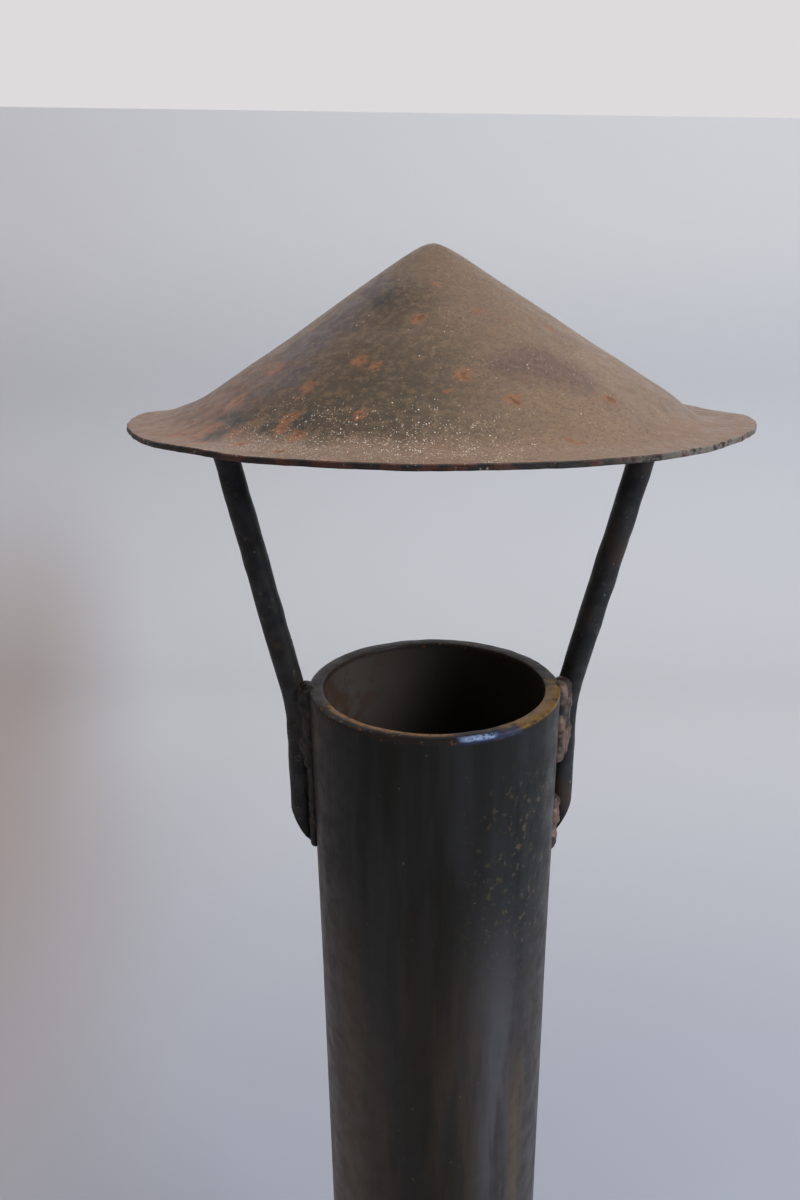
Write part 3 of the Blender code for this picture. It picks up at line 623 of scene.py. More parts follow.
def sheared_edge():
    """The raw cut through the sheet: dark scale, with a painted highlight along its right side and a few
    pale points painted as glints.
    """
    material, tree, place = new_material("sheared sheet edge", Metallic=0.5, Roughness=0.55)
    colour = coats(
        tree, "2B2724", ("4E3228", patches(place, 2.5, 0.45, 0.6)),
        # Painted highlight: the cut edge lighter on its right side, where the window light falls.
        ("8F877E", along(place, 0, 14, 34), patches(place, 0.9, 0.40, 0.56, 5.0), 0.8),
        # Painted glints: a few pale points.
        ("9A8E82", patches(place, 0.8, 0.64, 0.70, 3.0)))
    return finish(material, Base_Color=colour, Normal=uneven(place, (0.4, 0.1, 1.0)))


def sooted_sheet():
    """The cap's underside: matt soot over brown rust."""
    return worn("sooted sheet", "171513", (
        ("2C241E", (8, 0.4, 0.65)), ("4A3122", (3, 0.6, 0.7, 2.0))), [(0.5, 0.12, 1.0)], Roughness=0.85)


def tube_steel():
    """Black mill scale on drawn tube: a dull oily sheen, brown streaks down it, ochre specks of rust and an
    ochre lip; a painted sheen down the front right, a painted blue-white glint on the rim's front edge, and
    the inner wall painted lighter on the left where light falls into the bore."""
    material, tree, place = new_material("mill-scaled tube", Specular_IOR_Level=0.22)
    tube = centred(place, (0, PIPE_Y, RIM_Z))
    streaked = centred(place, (0, PIPE_Y, RIM_Z), (1, 1, 0.12))
    drawn_out = warped(streaked, 6, 1.5)
    frayed = warped(tube, 1.2, 0.7)
    low = along(tube, 2, -20, -72)
    inside = ring(tube, 18.7, 18.1)
    lip = along(tube, 2, -1.3, -0.5)
    ochre_rim = marks(frayed, 0.5, (-4, -18, 3.5), (-10, -15.5, 4), (-15, -11, 3.5), (0, -18.5, 2.5))
    yellow_rim = marks(frayed, 0.6, (13.5, -13.5, 4), (18, -8, 5), (19, -2, 3))
    # Painted reflection of the window on the rim's front edge: blue below a blue-white glint.
    painted_blue_reflection = marks(frayed, 0.5, (5.5, -19.2, 2.0), (8.5, -18.2, 2.4), (11.5, -16.8, 1.6))
    painted_glint = marks(frayed, 0.5, (5.5, -19.2, 1.6), (7.5, -18.6, 1.4))
    speck_zone = product(along(tube, 0, 2, 14), along(tube, 2, -4, -14), along(tube, 2, -55, -35))
    # Painted sheen: a soft vertical band on the front right of the pipe, where the window would be
    # reflected.
    rubbed = product(along(drawn_out, 0, 5.5, 10.5), along(drawn_out, 0, 15, 11), along(tube, 1, 0, -4),
                     along(tube, 2, -20, -60), along(tube, 2, -150, -112),
                     patches(streaked, 5, 0.30, 0.55, 9.0))
    ochre = product(along(drawn_out, 0, 12.0, 13.6), along(drawn_out, 0, 16.5, 15.0),
                    along(tube, 2, -58, -75))
    colour = coats(
        tree, "14130D",
        ("1E1D1B", patches(streaked, 5, 0.40, 0.65)),
        ("2F2D2A", low, 0.6),
        ("3D332A", low, patches(streaked, 6, 0.38, 0.66, 4.0), 0.8),
        ("504432", low, along(drawn_out, 0, -9, -14), 0.6),
        ("292A2B", patches(streaked, 7, 0.50, 0.66, 6.5), 0.5),
        # The painted sheen down the front right.
        ("55545A", rubbed, 0.6),
        ("55442C", ochre, patches(streaked, 2.6, 0.30, 0.64, 2.0), 0.7),
        ("524731", speck_zone, patches(tube, 1.3, 0.56, 0.68, 8.0), 0.8),
        ("5A4430", patches(tube, 1.1, 0.70, 0.76, 1.5)),
        ("2B2825", inside, 0.9),
        # Painted light: the inner wall lighter on the left, where light from the right falls into the bore.
        ("57504B", inside, along(tube, 0, 6, -15), 0.8),
        ("4A3326", inside, along(tube, 0, -6, -15), patches(tube, 5, 0.46, 0.60, 3.0), 0.7),
        ("25201C", lip, 0.85),
        ("6E4329", lip, patches(tube, 0.9, 0.60, 0.68, 5.0)),
        ("8C6030", lip, ochre_rim, ring(tube, 19.3, 18.7), patches(tube, 1.3, 0.32, 0.50, 2.2)),
        ("80602F", along(tube, 2, -0.8, -0.2), yellow_rim, patches(tube, 1.8, 0.30, 0.52, 4.0)),
        # Painted reflection: the window's blue on the rim's front edge.
        ("2C3A5C", along(tube, 2, -1.2, -0.7), ring(tube, 19.2, 19.7), painted_blue_reflection, 0.7),
        # Painted glint: blue-white on the rim's front edge.
        ("8FA2C8", along(tube, 2, -0.75, -0.35), ring(tube, 19.4, 19.8), painted_glint,
         patches(tube, 0.7, 0.36, 0.54, 6.0)))
    return finish(material, Base_Color=colour, Roughness=varied(tube, 3, 0.34, 0.50, 5.5),
                  Normal=uneven(streaked, (0.5, 0.05, 0.5), (3, 0.1, 0.5)))


def black_iron():
    """Forge-blackened bar and plate: near black, patches of brown, bare specks and a soft sheen."""
    return worn("forge-blackened steel", "131312", (
        ("2A2929", (4, 0.38, 0.64)), ("33291F", (9, 0.52, 0.68, 3.3)), ("4A4139", (1.6, 0.62, 0.74, 5.1)),
        ("8B8B8E", (0.7, 0.68, 0.74, 9.1), 0.7)),
        [(0.6, 0.08, 0.6), (5, 0.25, 0.5)], (3, 0.38, 0.58, 7.7), Specular_IOR_Level=0.35)


def weld_metal():
    """Arc weld: lumpy grey-brown metal with rust in its folds, paler at the right of the pipe."""
    material, tree, place = new_material("weld metal", Metallic=0.2, Roughness=0.55)
    right = product(along(place, 0, 19, 21), along(place, 2, 150, 200))
    colour = coats(
        tree, "1B1917", ("2C2723", patches(place, 2.5, 0.4, 0.6)),
        ("4A3629", patches(place, 1.6, 0.56, 0.68, 2.9)),
        ("7E6458", right, patches(place, 3, 0.36, 0.56, 1.0), 0.75))
    return finish(material, Base_Color=colour, Normal=uneven(place, (0.5, 0.12, 0.9)))


def blackened_sheet():
    """Body and lid sheet, blackened in oil: deep brown-black with a waxy sheen, lighter scuffs,
    rust that creeps up from the foot and upper edges rubbed grey."""
    material, tree, place = new_material("oil-blackened sheet steel", Specular_IOR_Level=0.4)
    streaked = node(tree, "Mapping", {"Vector": place, "Scale": (1, 1, 0.22)}).outputs[0]
    edge_band = product(along(place, 2, 75, 78), along(place, 2, 78.3, 78.0))
    colour = coats(
        tree, "1D1B1A",
        ("302E2D", patches(place, 15, 0.38, 0.64)),
        ("3B3430", patches(streaked, 7, 0.46, 0.68, 2.0)),
        ("4E3627", along(place, 2, 40, 10), patches(streaked, 6, 0.42, 0.60, 4.0)),
        ("6E4529", patches(place, 3, 0.63, 0.71, 6.0), 0.8),
        ("77716A", edge_band, patches(place, 3, 0.46, 0.58, 9.0)),
        ("5E5852", patches(streaked, 1.2, 0.68, 0.74, 1.0), 0.6))
    return finish(material, Base_Color=colour, Roughness=varied(place, 6, 0.34, 0.60, 3.0),
                  Normal=uneven(place, (0.7, 0.06, 0.6), (9, 0.4, 0.5)))


def ground_steel():
    """The sole: thick plate ground on a belt, so fine lines run along it; brown-grey with use,
    a few rust specks, and darker where it meets the wall."""
    material, tree, place = new_material("belt-ground steel", Metallic=1.0)
    lines = node(tree, "Mapping", {"Vector": place, "Scale": (1, 0.02, 1)}).outputs[0]
    colour = coats(
        tree, "8A847E",
        ("655F5A", patches(lines, 0.7, 0.40, 0.60)),
        ("5C5048", patches(place, 16, 0.42, 0.62, 2.0), 0.8),
        ("6E4A33", patches(place, 2.5, 0.62, 0.70, 5.0)),
        ("332E2B", along(place, 2, 7.5, 10), 0.8))
    return finish(material, Base_Color=colour, Roughness=varied(place, 8, 0.26, 0.46, 4.0),
                  Normal=uneven(lines, (0.45, 0.05, 0.7)))


def cast_iron():
    """The grate: sand-cast iron, dull and pebbled, burnt brown and dusted with pale ash."""
    return worn("ash-dusted cast iron", "2B2826", (
        ("4A382D", (7, 0.42, 0.60)), ("8C867E", (11, 0.46, 0.62, 3.0), 0.7),
        ("A39C92", (1.4, 0.60, 0.68, 8.0))),
        [(0.9, 0.2, 0.9)], (4, 0.65, 0.9), Metallic=0.3)


def rubbed_steel():
    """Rivets, nuts and rod: dark bar steel with crowns rubbed bright by use."""
    return worn("rubbed bar steel", "57524E", (
        ("8B857E", (1.6, 0.42, 0.58)), ("3A332F", (2.6, 0.50, 0.62, 3.0)),
        ("6B452F", (1.3, 0.62, 0.70, 6.0))),
        [(0.4, 0.05, 0.7), (1.8, 0.12, 0.5)], (1.5, 0.28, 0.5), Metallic=1.0)


def turned_beech():
    """The grip: oiled beech turned on a lathe, growth rings drawn out along it, short dark rays,
    browned where the hand holds it and scorched at both ends."""
    material, tree, place = new_material("oiled turned beech", Specular_IOR_Level=0.45)
    wood = centred(place, GRIP_MIDDLE + Vector((26, 0, -19)) * MM)
    fibre = centred(place, GRIP_MIDDLE, (1, 0.05, 1))
    rays = centred(place, GRIP_MIDDLE, (1, 0.3, 1))
    bent = warped(node(tree, "Mapping", {"Vector": wood, "Scale": (1, 0.12, 1)}).outputs[0], 9, 1.6)
    rings = node(tree, "TexWave", {"Vector": bent, "Scale": 150.0, "Distortion": 1.5, "Detail": 2.0},
                 wave_type="RINGS", rings_direction="Y").outputs["Fac"]
    centre, half = GRIP_MIDDLE.y / MM, GRIP_HALF / MM
    ends = coats(tree, "000000", ("FFFFFF", along(place, 1, centre + 0.62 * half, centre + half)),
                 ("FFFFFF", along(place, 1, centre - 0.62 * half, centre - half)))
    colour = coats(
        tree, "8A5A34", ("6F4325", rings, 0.75),
        ("A27244", patches(fibre, 1.6, 0.48, 0.66), 0.6),
        ("4C2C18", patches(rays, 0.5, 0.62, 0.70, 5.0), 0.8),
        ("3A2314", patches(place, 14, 0.50, 0.66, 2.0), 0.6),
        ("20150E", ends, 0.85))
    return finish(material, Base_Color=colour, Roughness=varied(place, 7, 0.30, 0.46),
                  Normal=uneven(fibre, (0.5, 0.06, 0.6)))


def tarnished_brass():
    """Ferrules and knob: turned brass gone olive-brown, with yellow showing where fingers reach."""
    return worn("tarnished turned brass", "A8843F", (
        ("6B5428", (4, 0.38, 0.60)), ("3C3220", (1.8, 0.52, 0.66, 4.0)), ("D2AC62", (3, 0.60, 0.72, 7.0))),
        [(0.4, 0.03, 0.6)], (2, 0.24, 0.42), Metallic=1.0)


def heat_tinted_steel():
    """The shield: bare sheet coloured by heat, straw at its right edge, then brown, violet and blue."""
    material, tree, place = new_material("heat-tinted sheet steel", Metallic=1.0)
    colour = coats(
        tree, "6A5A48", ("5A4658", patches(place, 22, 0.40, 0.55)),
        ("43506A", patches(place, 18, 0.52, 0.64, 3.0)),
        ("7A6A50", along(warped(place, 14, 7), 0, -23, 23), 0.35),
        ("2C2624", patches(place, 3, 0.56, 0.68, 6.0), 0.7))
    return finish(material, Base_Color=colour, Roughness=varied(place, 5, 0.30, 0.48),
                  Normal=uneven(place, (0.5, 0.04, 0.5), (12, 0.4, 0.4)))


def stove_cement():
    """Fireclay smeared into the joint of tube and collar: matt, grey-buff, cracked and sooty."""
    return worn("stove cement", "6A6258", (
        ("3A342F", (4, 0.40, 0.60)), ("8D8476", (1.2, 0.56, 0.66, 3.0))), [(0.6, 0.15, 1.0)], Roughness=0.9)


# ---- chimney pieces

def cap_height(radius):
    """Height of the cap's upper face above the rim: a cone that turns out into the brim."""
    tip, ease = 2.0 * MM, 1.6 * MM
    cone = 66.7 * MM - 0.648 * (math.hypot(radius, tip) - tip)
    step = cone - CAP_BRIM_HEIGHT
    return CAP_BRIM_HEIGHT + (step + math.hypot(step, ease)) / 2 - ease / 8


# Marks of the hammer: a turn and its spread in degrees, a distance from the axis and its spread,
# and a depth, in mm. 0 degrees points right and 270 to the heel; a negative depth is a rise.
HAMMER_MARKS = (
    (0, 50, 9, 7, 0.35), (0, 45, 20, 6, 0.10), (0, 40, 30, 5, 0.15), (6, 30, 37, 3, 1.20),
    (180, 50, 20, 7, 0.42), (180, 35, 38, 3, -0.62), (150, 20, 44, 5, 0.72), (178, 18, 44, 5, -0.68),
    (200, 16, 44, 5, -0.46), (222, 14, 44, 5, -0.30), (245, 18, 44, 5, -0.40), (275, 20, 44, 5, -0.28),
    (330, 16, 44, 5, -0.42), (352, 14, 44, 5, -0.18), (12, 12, 44, 5, 0.25))


def hammered(turn, radius):
    """How deep the hammer marks are at a turn and a distance from the axis."""
    depth = 0.0
    for mark_turn, turn_spread, reach, reach_spread, deep in HAMMER_MARKS:
        off = (turn - mark_turn + 180) % 360 - 180
        depth += deep * math.exp(-(off / turn_spread) ** 2 - ((radius / MM - reach) / reach_spread) ** 2)
    return depth * MM


def make_cap():
    rings = 72
    sheet = 0.75 * MM
    corner = 0.12 * MM
    radii = [CAP_RADIUS * (i / rings) ** 0.9 for i in range(rings + 1)]
    upper = [(radius, cap_height(radius)) for radius in radii[:-1]]
    top = cap_height(CAP_RADIUS)
    edge = [(CAP_RADIUS - corner, top), (CAP_RADIUS, top - corner), (CAP_RADIUS, top - sheet / 2),
            (CAP_RADIUS, top - sheet + corner), (CAP_RADIUS - corner, top - sheet)]
    lower = [(radius, height - sheet) for radius, height in reversed(upper)]
    cap = turned("rain_cap_sheet", upper + edge + lower, Vector((0, PIPE_Y, RIM_Z)), Z, 320, unit=1)
    paint(cap, rusted_sheet(), sheared_edge(), sooted_sheet())
    for face in cap.data.polygons:
        rim_ward = Vector((face.center.x, face.center.y - PIPE_Y)).length > CAP_RADIUS - corner
        if rim_ward:
            face.material_index = 1
        elif face.normal.z < 0:
            face.material_index = 2
    shape_cap(cap)
    keep(cap, None, "rain_cap", slot="rusty_sheet")


def shape_cap(cap):
    """Hand work: hammer marks, a ragged outline from the snips, a brim that isn't quite central."""
    for vertex in cap.data.vertices:
        flat = Vector((vertex.co.x, vertex.co.y - PIPE_Y, 0))
        radius = flat.length
        brim = blend(0.45 * CAP_RADIUS, CAP_RADIUS, radius)
        if radius > 0.1 * MM:
            turn = math.degrees(math.atan2(flat.y, flat.x)) % 360
            outward = flat.normalized()
            dents = 0.20 * MM * noise.noise(flat / (13 * MM)) + 0.06 * MM * noise.noise(flat / (5 * MM))
            vertex.co.z += dents * blend(0, 10 * MM, radius) - hammered(turn, radius)
            edge = blend(CAP_RADIUS - 3 * MM, CAP_RADIUS, radius)
            ragged = 0.18 * MM * noise.noise(outward * 20) + 0.16 * MM * noise.noise(outward * 55)
            vertex.co += outward * ragged * edge
        vertex.co.x += (0.6 * brim - 0.15) * MM


def make_pipe(material):
    """A drawn tube, belled a little to its mouth, with a worn and slightly uneven rim."""
    low, high = PIPE_LOW.z, PIPE_HIGH.z
    soft = 0.4 * MM
    walls = [soft + (high - low - soft) * (i / 40) ** 1.5 for i in range(41)]
    belled = PIPE_MOUTH_RADIUS - PIPE_RADIUS
    outside = [(PIPE_RADIUS + belled * max(0.0, 1 - depth / (50 * MM)), high - depth) for depth in walls]
    inside = [(PIPE_BORE_RADIUS, height) for radius, height in reversed(outside)]
    inner, outer = PIPE_BORE_RADIUS, outside[0][0]
    lip = [(inner + 0.3 * soft, high - 0.3 * soft), (inner + soft, high),
           (outer - soft, high), (outer - 0.3 * soft, high - 0.3 * soft)]
    pipe = turned("flue_tube", inside + lip + outside + inside[:1], Vector((0, PIPE_Y, 0)), Z, 160, unit=1)
    for vertex in pipe.data.vertices:
        around = Vector((vertex.co.x, vertex.co.y - PIPE_Y, 0)) / (3.5 * MM)
        near_rim = blend(RIM_Z - 4 * MM, RIM_Z, vertex.co.z)
        vertex.co.z += near_rim * MM * (0.12 * noise.noise(around) + 0.05 * noise.noise(around * 4) - 0.1)
    keep(pipe, material, "chimney_pipe")


def around_pipe(reach, height, turn):
    """A place at a distance from the pipe's axis and a height from its rim, in mm and degrees."""
    angle = math.radians(turn)
    return Vector((reach * math.cos(angle) * MM, PIPE_Y + reach * math.sin(angle) * MM,
                   RIM_Z + height * MM))


LEG_REACH = 22.5      # mm from the pipe's axis to the bar's, beside the pipe


def make_stays(material):
    """Round bars: a leg welded beside the pipe, a bend just below the rim, then out to the cap."""
    for name, leg_turn, top_turn, node_name in (("stay_bar_left", 180, 180, "stay_left"),
                                                ("stay_bar_right", 11, 2, "stay_right")):
        foot = around_pipe(LEG_REACH, -31, leg_turn)
        bend = around_pipe(LEG_REACH, -4.5, leg_turn)
        top = around_pipe(33.1, 44.5, top_turn)
        start = bend - (bend - foot).normalized() * 3 * MM
        end = bend + (top - bend).normalized() * 3 * MM
        path = [foot.lerp(bend, i / 24) for i in range(24)]
        path = [place for place in path if place.z < start.z]
        path += [start.lerp(bend, i / 8).lerp(bend.lerp(end, i / 8), i / 8) for i in range(9)]
        path += [end.lerp(top, i / 34) for i in range(1, 35)]
        bar = swept(name, path, 2.0 * MM, 8)
        edit_all()
        out = around_pipe(1, 0, leg_turn) - around_pipe(0, 0, leg_turn)
        slant = (out.normalized() * 7.3 - Z * 4).normalized()
        bpy.ops.mesh.bisect(plane_co=around_pipe(LEG_REACH + 2, -23.2, leg_turn), plane_no=slant,
                            use_fill=True, clear_outer=True)
        leave_edit()
        roughen(bar, 0.16, 4, leg_turn)
        roughen(bar, 0.05, 1.2, leg_turn + 5)
        smooth_within(40)
        keep(bar, material, node_name)


def weld(name, blobs, material):
    """Drops of weld metal run together: spheres joined, remeshed and smoothed."""
    deselect()
    drops = []
    for place, size in blobs:
        bpy.ops.mesh.primitive_ico_sphere_add(subdivisions=3, radius=1, location=place)
        drop = bpy.context.object
        drop.scale = [s * MM for s in size]
        drops.append(drop)
    for drop in drops:
        drop.select_set(True)
    bpy.context.view_layer.objects.active = drops[0]
    bpy.ops.object.join()
    bead = bpy.context.object
    bead.name = name
    fix_place()
    bead.data.remesh_voxel_size = 0.28 * MM
    bpy.ops.object.voxel_remesh()
    smooth = bead.modifiers.new("smooth", "SMOOTH")
    smooth.iterations = 8
    apply_all(bead)
    roughen(bead, 0.16, 1.3, 3.0)
    bpy.ops.object.shade_smooth()
    keep(bead, material)


def make_welds(material):
    """Each stay is welded to the pipe below the rim and at its foot, and under the cap."""
    left, right = [], []
    for i in range(28):
        sway = 1.2 * math.sin(0.9 * i)
        reach, fat = (20.9, 1.75) if i < 13 else (20.4, 1.15)
        left += [(around_pipe(reach, -0.9 - 1.02 * i, 182.5 + sway), (fat, fat, 1.3)),
                 (around_pipe(20.4, -0.9 - 1.02 * i, 186 - sway), (0.75 * fat, 0.85 * fat, 1.2))]
    for i in range(13):
        sway = 1.4 * math.sin(1.1 * i)
        right += [(around_pipe(21.3 + 0.3 * math.sin(i), -1.2 - i, 6.5 + sway), (1.75, 1.7, 1.3)),
                  (around_pipe(20.5, -1.0 - i, 0.5 - sway), (1.25, 1.5, 1.2))]
    right += [(around_pipe(20.7 - 0.06 * i, -23.0 - 1.1 * i, 7 + 1.5 * math.sin(1.7 * i)), (1.45, 1.6, 1.2))
              for i in range(9)]
    right += [(around_pipe(20.4, -12 - 0.7 * i, 11), (0.9, 1.1, 1.0)) for i in range(20)]
    weld("weld_leg_left", left, material)
    weld("weld_leg_right", right, material)
    for name, turn in (("left", 180), ("right", 2)):
        stay_top = around_pipe(33.2, 44.4, turn)
        crown = []
        for i in range(10):
            angle = math.tau * i / 10
            place = stay_top + (X * math.cos(angle) + Y * math.sin(angle)) * 2.1 * MM
            reach = Vector((place.x, place.y - PIPE_Y)).length
            place.z = RIM_Z + cap_height(reach) - 1.5 * MM
            crown.append((place, (1.3, 1.3, 0.9)))
        weld(f"weld_cap_{name}", crown, material)


# ---- body, lid, door and handle

def boat_outline(inset, rear_y, steps=34):
    """The iron seen from above, moved in by an inset: straight sides, then two arcs to the toe."""
    radius = ARC_RADIUS - inset
    to_middle = ARC_RADIUS - SOLE_HALF_WIDTH
    last = math.acos(to_middle / radius)
    right = [(SOLE_HALF_WIDTH - inset, rear_y + (ARC_CENTRE_Y - rear_y) * i / 10) for i in range(10)]
    for i in range(steps + 1):
        turn = last * i / steps
        right.append((radius * math.cos(turn) - to_middle, ARC_CENTRE_Y + radius * math.sin(turn)))
    right[-1] = (0.0, right[-1][1])
    return right + [(-x, y) for x, y in reversed(right[:-1])]


def make_sole(material):
    sole = plate("sole_block", boat_outline(0, SOLE_LOW.y), 0, SOLE_HIGH.z, 1.1 * MM, 4)
    keep(sole, material, "sole_plate", slot="ground_steel")


def make_wall(material, bead_material):
    """The side wall is one strip bent round the toe, with a row of air holes; beads weld its foot."""
    low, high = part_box("body_wall")
    wall = bent_sheet("firebox_wall", boat_outline(2 * MM, low.y), low.z, high.z, 2.5 * MM)
    holes = [(side * 49 * MM, SOLE_LOW.y + (26 + 15 * i) * MM, 25 * MM)
             for i in range(7) for side in (-1, 1)]
    drilled(wall, holes, 3.5 * MM, 16 * MM, (0, math.pi / 2, 0))
    round_edges(wall, 0.35 * MM)
    keep(wall, material, "body_wall")
    foot = SOLE_HIGH.z + 0.7 * MM
    around = boat_outline(1.9 * MM, low.y, steps=150)
    heel_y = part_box("heel_plate")[0].y - 0.5 * MM
    across = [(x * MM, heel_y) for x in range(-50, 51)]
    for name, line in (("weld_wall_foot", around), ("weld_heel_foot", across)):
        points = []
        for (x0, y0), (x1, y1) in zip(line, line[1:]):
            count = max(1, round(math.hypot(x1 - x0, y1 - y0) / MM))
            points += [Vector((x0 + (x1 - x0) * i / count, y0 + (y1 - y0) * i / count, foot))
                       for i in range(count)]
        radii = [1 + 0.16 * math.sin(1.9 * i) + 0.12 * math.sin(0.37 * i) for i in range(len(points))]
        bead = swept(name, points, 1.2 * MM, 3, radii)
        roughen(bead, 0.25, 2.2, 6.0)
        keep(bead, bead_material)


def make_collar(material, cement):
    low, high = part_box("flue_collar")
    rise = (high.z - low.z) / MM
    profile = [(20.35, rise - 0.4), (20.75, rise), (22.2, rise), (22.8, rise - 0.5), (22.8, 5.0),
               (23.1, 3.7), (23.9, 2.9), (25.0, 2.5), (27.9, 2.45), (28.5, 1.9), (28.5, 0.4), (28.2, 0),
               (20.35, 0), (20.35, rise - 0.4)]
    collar = turned("flue_collar_ring", profile, Vector((0, PIPE_Y, low.z)), Z, 120)
    roughen(collar, 0.2, 9, 2.0)
    keep(collar, material, "flue_collar")
    deselect()
    bpy.ops.mesh.primitive_torus_add(major_radius=20.9 * MM, minor_radius=1.0 * MM, major_segments=180,
                                     minor_segments=12, location=(0, PIPE_Y, high.z + 0.1 * MM))
    joint = bpy.context.object
    joint.name = "collar_cement"
    fix_place()
    roughen(joint, 0.7, 4.5, 1.0)
    roughen(joint, 0.3, 1.5, 2.0)
    bpy.ops.object.shade_smooth()
    keep(joint, cement)


# Sheet pieces that keep their node's shape: new name, node, body and the width of their edges in mm.
SHEET_PIECES = (
    ("heel_sheet", "heel_plate", "root", 0.45),
    ("toe_deck", "nose_deck", "root", 0.6),
    ("lid_sheet", "lid_plate", "lid", 0.6),
    ("lid_flange", "lid_skirt", "lid", 0.3),
    ("hinge_body_leaf", "hinge_leaf_body", "root", 0.35),
    ("hinge_lid_leaf", "hinge_leaf_lid", "lid", 0.35),
    ("post_front", "handle_post_front", "lid", 0.6),
    ("post_rear", "handle_post_rear", "lid", 0.6),
    ("turn_button", "lid_catch", "catch", 0.45),
    ("keeper_strap", "catch_keeper", "root", 0.3),
    ("draught_cover", "draught_door", "door", 0.45),
    ("ledge_left", "grate_rail_left", "root", 0.4),
    ("ledge_right", "grate_rail_right", "root", 0.4),
    ("shield_sheet", "heat_shield", "lid", 0.35),
    ("grate_casting", "fire_grate", "root", 0.5))


def make_sheet_pieces(sheet, bar, tinted, cast):
    finishes = {"heel_sheet": sheet, "toe_deck": sheet, "lid_sheet": sheet, "lid_flange": sheet,
                "shield_sheet": tinted, "grate_casting": cast}
    for name, node_name, body, width in SHEET_PIECES:
        piece = refined(name, node_name, width * MM, 3 if width > 0.4 else 2)
        slot = "cast_iron" if name == "grate_casting" else "black_steel"
        keep(piece, finishes.get(name, bar), node_name, body=body, slot=slot)


# Rivets by body, the way their heads face in degrees from up, name and how many there are.
RIVETS = (
    ("root", 0, "collar_rivet", 4), ("root", 0, "keeper_rivet", 2), ("root", 90, "door_pivot", 1),
    ("root", 90, "hinge_rivet", 2), ("lid", 0, "lid_leaf_rivet", 2), ("lid", 0, "post_rivet", 4),
    ("lid", 0, "catch_pivot", 1))


def make_rivets(material):
    """One hammered rivet, copied to every place; the shank is drawn out to each one's length."""
    length = 8.0
    profile = [(0, 0), (0.75, -0.07), (1.4, -0.28), (1.95, -0.68), (2.3, -1.2), (2.38, -1.6),
               (2.3, -1.72), (1.4, -1.75), (1.4, 1.0 - length), (2.0, 0.9 - length),
               (2.08, 0.6 - length), (1.7, 0.2 - length), (0.9, 0.02 - length), (0, -length)]
    model = turned("rivet_model", profile, Vector((0, 0, 0)), Z, 28)
    for body, turn, kind, count in RIVETS:
        for i in range(count):
            name = f"{kind}_{i + 1}" if count > 1 else kind
            low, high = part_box(name)
            size = high - low
            piece = copied(model, name + "_head")
            stretch = (size.y if turn else size.z) - length * MM
            for vertex in piece.data.vertices:
                if vertex.co.z < -4 * MM:
                    vertex.co.z -= stretch
            spot = (low + high) / 2
            if turn:
                spot.y = low.y
            else:
                spot.z = high.z
            piece.data.transform(Matrix.Translation(spot) @ Matrix.Rotation(math.radians(turn), 4, "X")
                                 @ Matrix.Rotation(spot.x * 900 + spot.y * 700, 4, "Z"))
            roughen(piece, 0.16, 1.3, 5.0)
            keep(piece, material, name, body=body, slot="rivet_steel")
    bpy.data.objects.remove(model, do_unlink=True)


def make_grip(wood):
    """A long barrel with two turned grooves and a bead at each end."""
    bore = 4.3 * MM
    profile = [(bore, -GRIP_HALF)]
    steps = 150
    for i in range(steps + 1):
        t = -1 + 2 * i / steps
        radius = 10.5 + 3.4 * math.cos(t * math.pi / 2)
        for at, deep, wide in ((0.955, 0.7, 0.016), (0.86, 0.55, 0.013), (0.815, 0.55, 0.013)):
            radius -= deep * math.exp(-((abs(t) - at) / wide) ** 2)
        radius -= 0.9 * blend(0.97, 1.0, abs(t))
        profile.append((radius * MM, GRIP_HALF * t))
    profile += [(bore, GRIP_HALF), (bore, -GRIP_HALF)]
    grip = turned("beech_grip", profile, GRIP_MIDDLE, Y, 72, unit=1)
    keep(grip, wood, "handle_grip", body="lid", slot="turned_wood")


def make_ferrules(material):
    profile = [(4.35, -3.5), (10.5, -3.5), (10.95, -3.2), (10.95, -2.3), (10.4, -2.0), (10.55, -1.6),
               (10.3, -0.4), (9.8, 0.8), (9.2, 1.9), (8.75, 2.4), (8.95, 2.7), (8.95, 3.2), (8.6, 3.5),
               (4.35, 3.5), (4.35, -3.5)]
    for name, side in (("front", 1), ("rear", -1)):
        ferrule = turned("brass_ferrule_" + name, [(r, side * h) for r, h in profile],
                         middle("ferrule_" + name), Y, 64)
        keep(ferrule, material, "ferrule_" + name, body="lid", slot="brass")


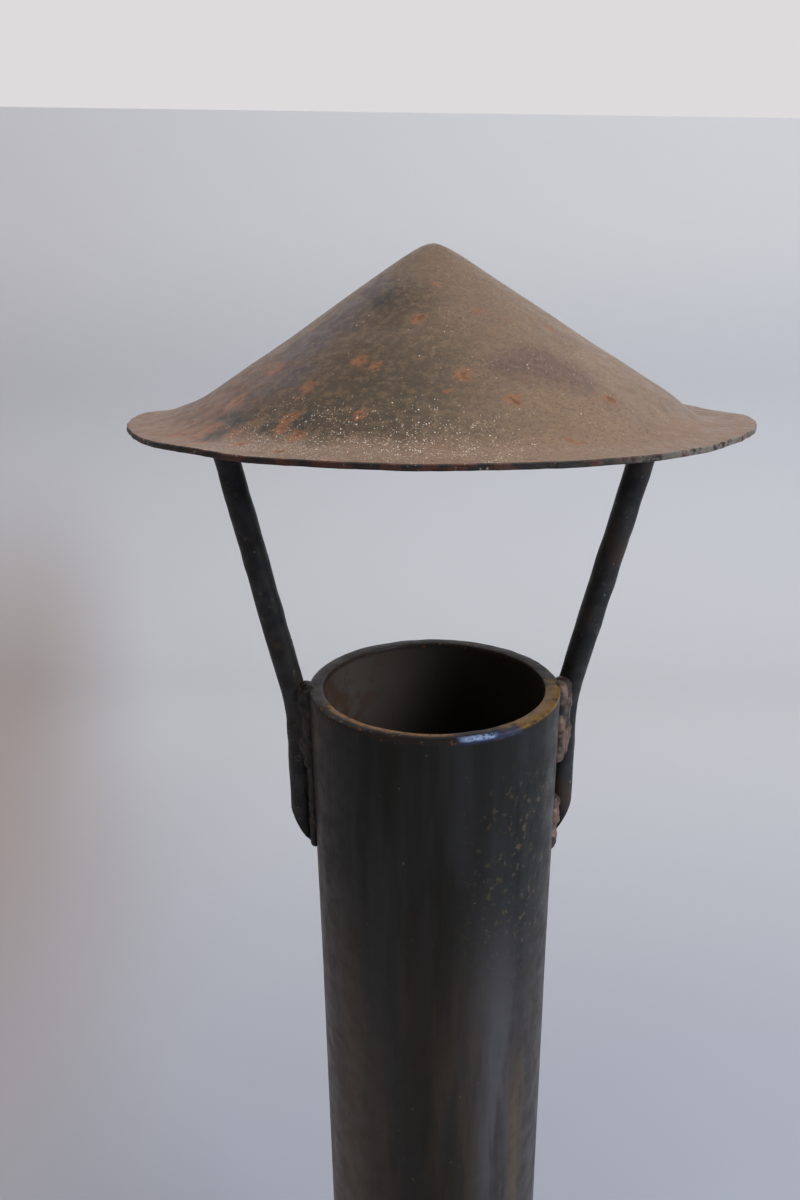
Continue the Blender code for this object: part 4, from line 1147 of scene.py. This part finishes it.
def make_rod_and_nuts(material):
    """A threaded rod through the grip, with a chamfered hexagon nut outside each post."""
    low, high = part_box("handle_rod")
    half = (high.y - low.y) / MM / 2
    thread = [(0, -half), (3.1, -half)]
    for i in range(22):
        thread.append((3.95 if i % 2 else 3.55, -half + 0.5 + 0.42 * i))
    thread += [(r, -h) for r, h in reversed(thread)]
    rod = turned("threaded_rod", thread, (low + high) / 2, Y, 40)
    keep(rod, material, "handle_rod", body="lid", slot="rivet_steel")
    centre = middle("handle_nut_front")
    deselect()
    bpy.ops.mesh.primitive_cylinder_add(vertices=6, radius=7.5 * MM, depth=5.5 * MM, location=centre,
                                        rotation=(-math.pi / 2, 0, 0))
    nut = bpy.context.object
    nut.name = "hexagon_nut_front"
    fix_place()
    profile = [(0, -2.75), (6.35, -2.75), (7.6, -2.0), (7.6, 2.0), (6.35, 2.75), (0, 2.75)]
    barrel = turned("nut_barrel", profile, centre, Y, 96)
    combined(nut, barrel, "INTERSECT")
    drilled(nut, [centre], 4.1 * MM, 12 * MM, (math.pi / 2, 0, 0), 40)
    round_edges(nut, 0.15 * MM, 2, 20)
    keep(nut, material, "handle_nut_front", body="lid", slot="rivet_steel")
    twin = copied(nut, "hexagon_nut_rear")
    twin.data.transform(Matrix.Translation(middle("handle_nut_rear") - centre))
    keep(twin, material, "handle_nut_rear", body="lid", slot="rivet_steel")


def make_hinge_pin(material):
    low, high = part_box("hinge_pin")
    half = (high.x - low.x) / MM / 2
    end = [(0, -half), (0.9, 0.1 - half), (1.8, 0.45 - half), (2.4, 1.0 - half), (2.65, 1.55 - half),
           (1.6, 1.65 - half)]
    profile = end + [(r, -h) for r, h in reversed(end)]
    pin = turned("hinge_pin_bar", profile, (low + high) / 2, X, 32)
    roughen(pin, 0.12, 1.2, 3.0)
    keep(pin, material, "hinge_pin", slot="rivet_steel")


def make_knob(material):
    low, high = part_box("door_knob")
    seat = Vector(((low.x + high.x) / 2, low.y + 10 * MM, (low.z + high.z) / 2))
    profile = [(0, 10), (0.9, 9.96), (1.9, 9.75), (2.9, 9.2), (3.7, 8.3), (4.1, 7.2), (4.15, 6.4),
               (3.8, 5.4), (3.0, 4.4), (2.3, 3.6), (1.95, 2.7), (2.05, 2.0), (2.6, 1.6), (3.2, 1.3),
               (3.4, 0.9), (3.4, 0.1), (1.4, 0.1), (1.4, -2), (0, -2)]
    knob = turned("brass_knob", profile, seat, -Y, 48)
    keep(knob, material, "door_knob", body="door", slot="brass")


make_camera()
make_stage()
make_light()

blackened = black_iron()
sheet_steel = blackened_sheet()
bar_steel = rubbed_steel()
brass = tarnished_brass()
beads = weld_metal()

make_cap()
make_pipe(tube_steel())
make_stays(blackened)
make_welds(beads)
make_sole(ground_steel())
make_wall(sheet_steel, beads)
make_collar(blackened, stove_cement())
make_sheet_pieces(sheet_steel, blackened, heat_tinted_steel(), cast_iron())
make_rivets(bar_steel)
make_hinge_pin(bar_steel)
make_rod_and_nuts(bar_steel)
make_grip(turned_beech())
make_ferrules(brass)
make_knob(brass)
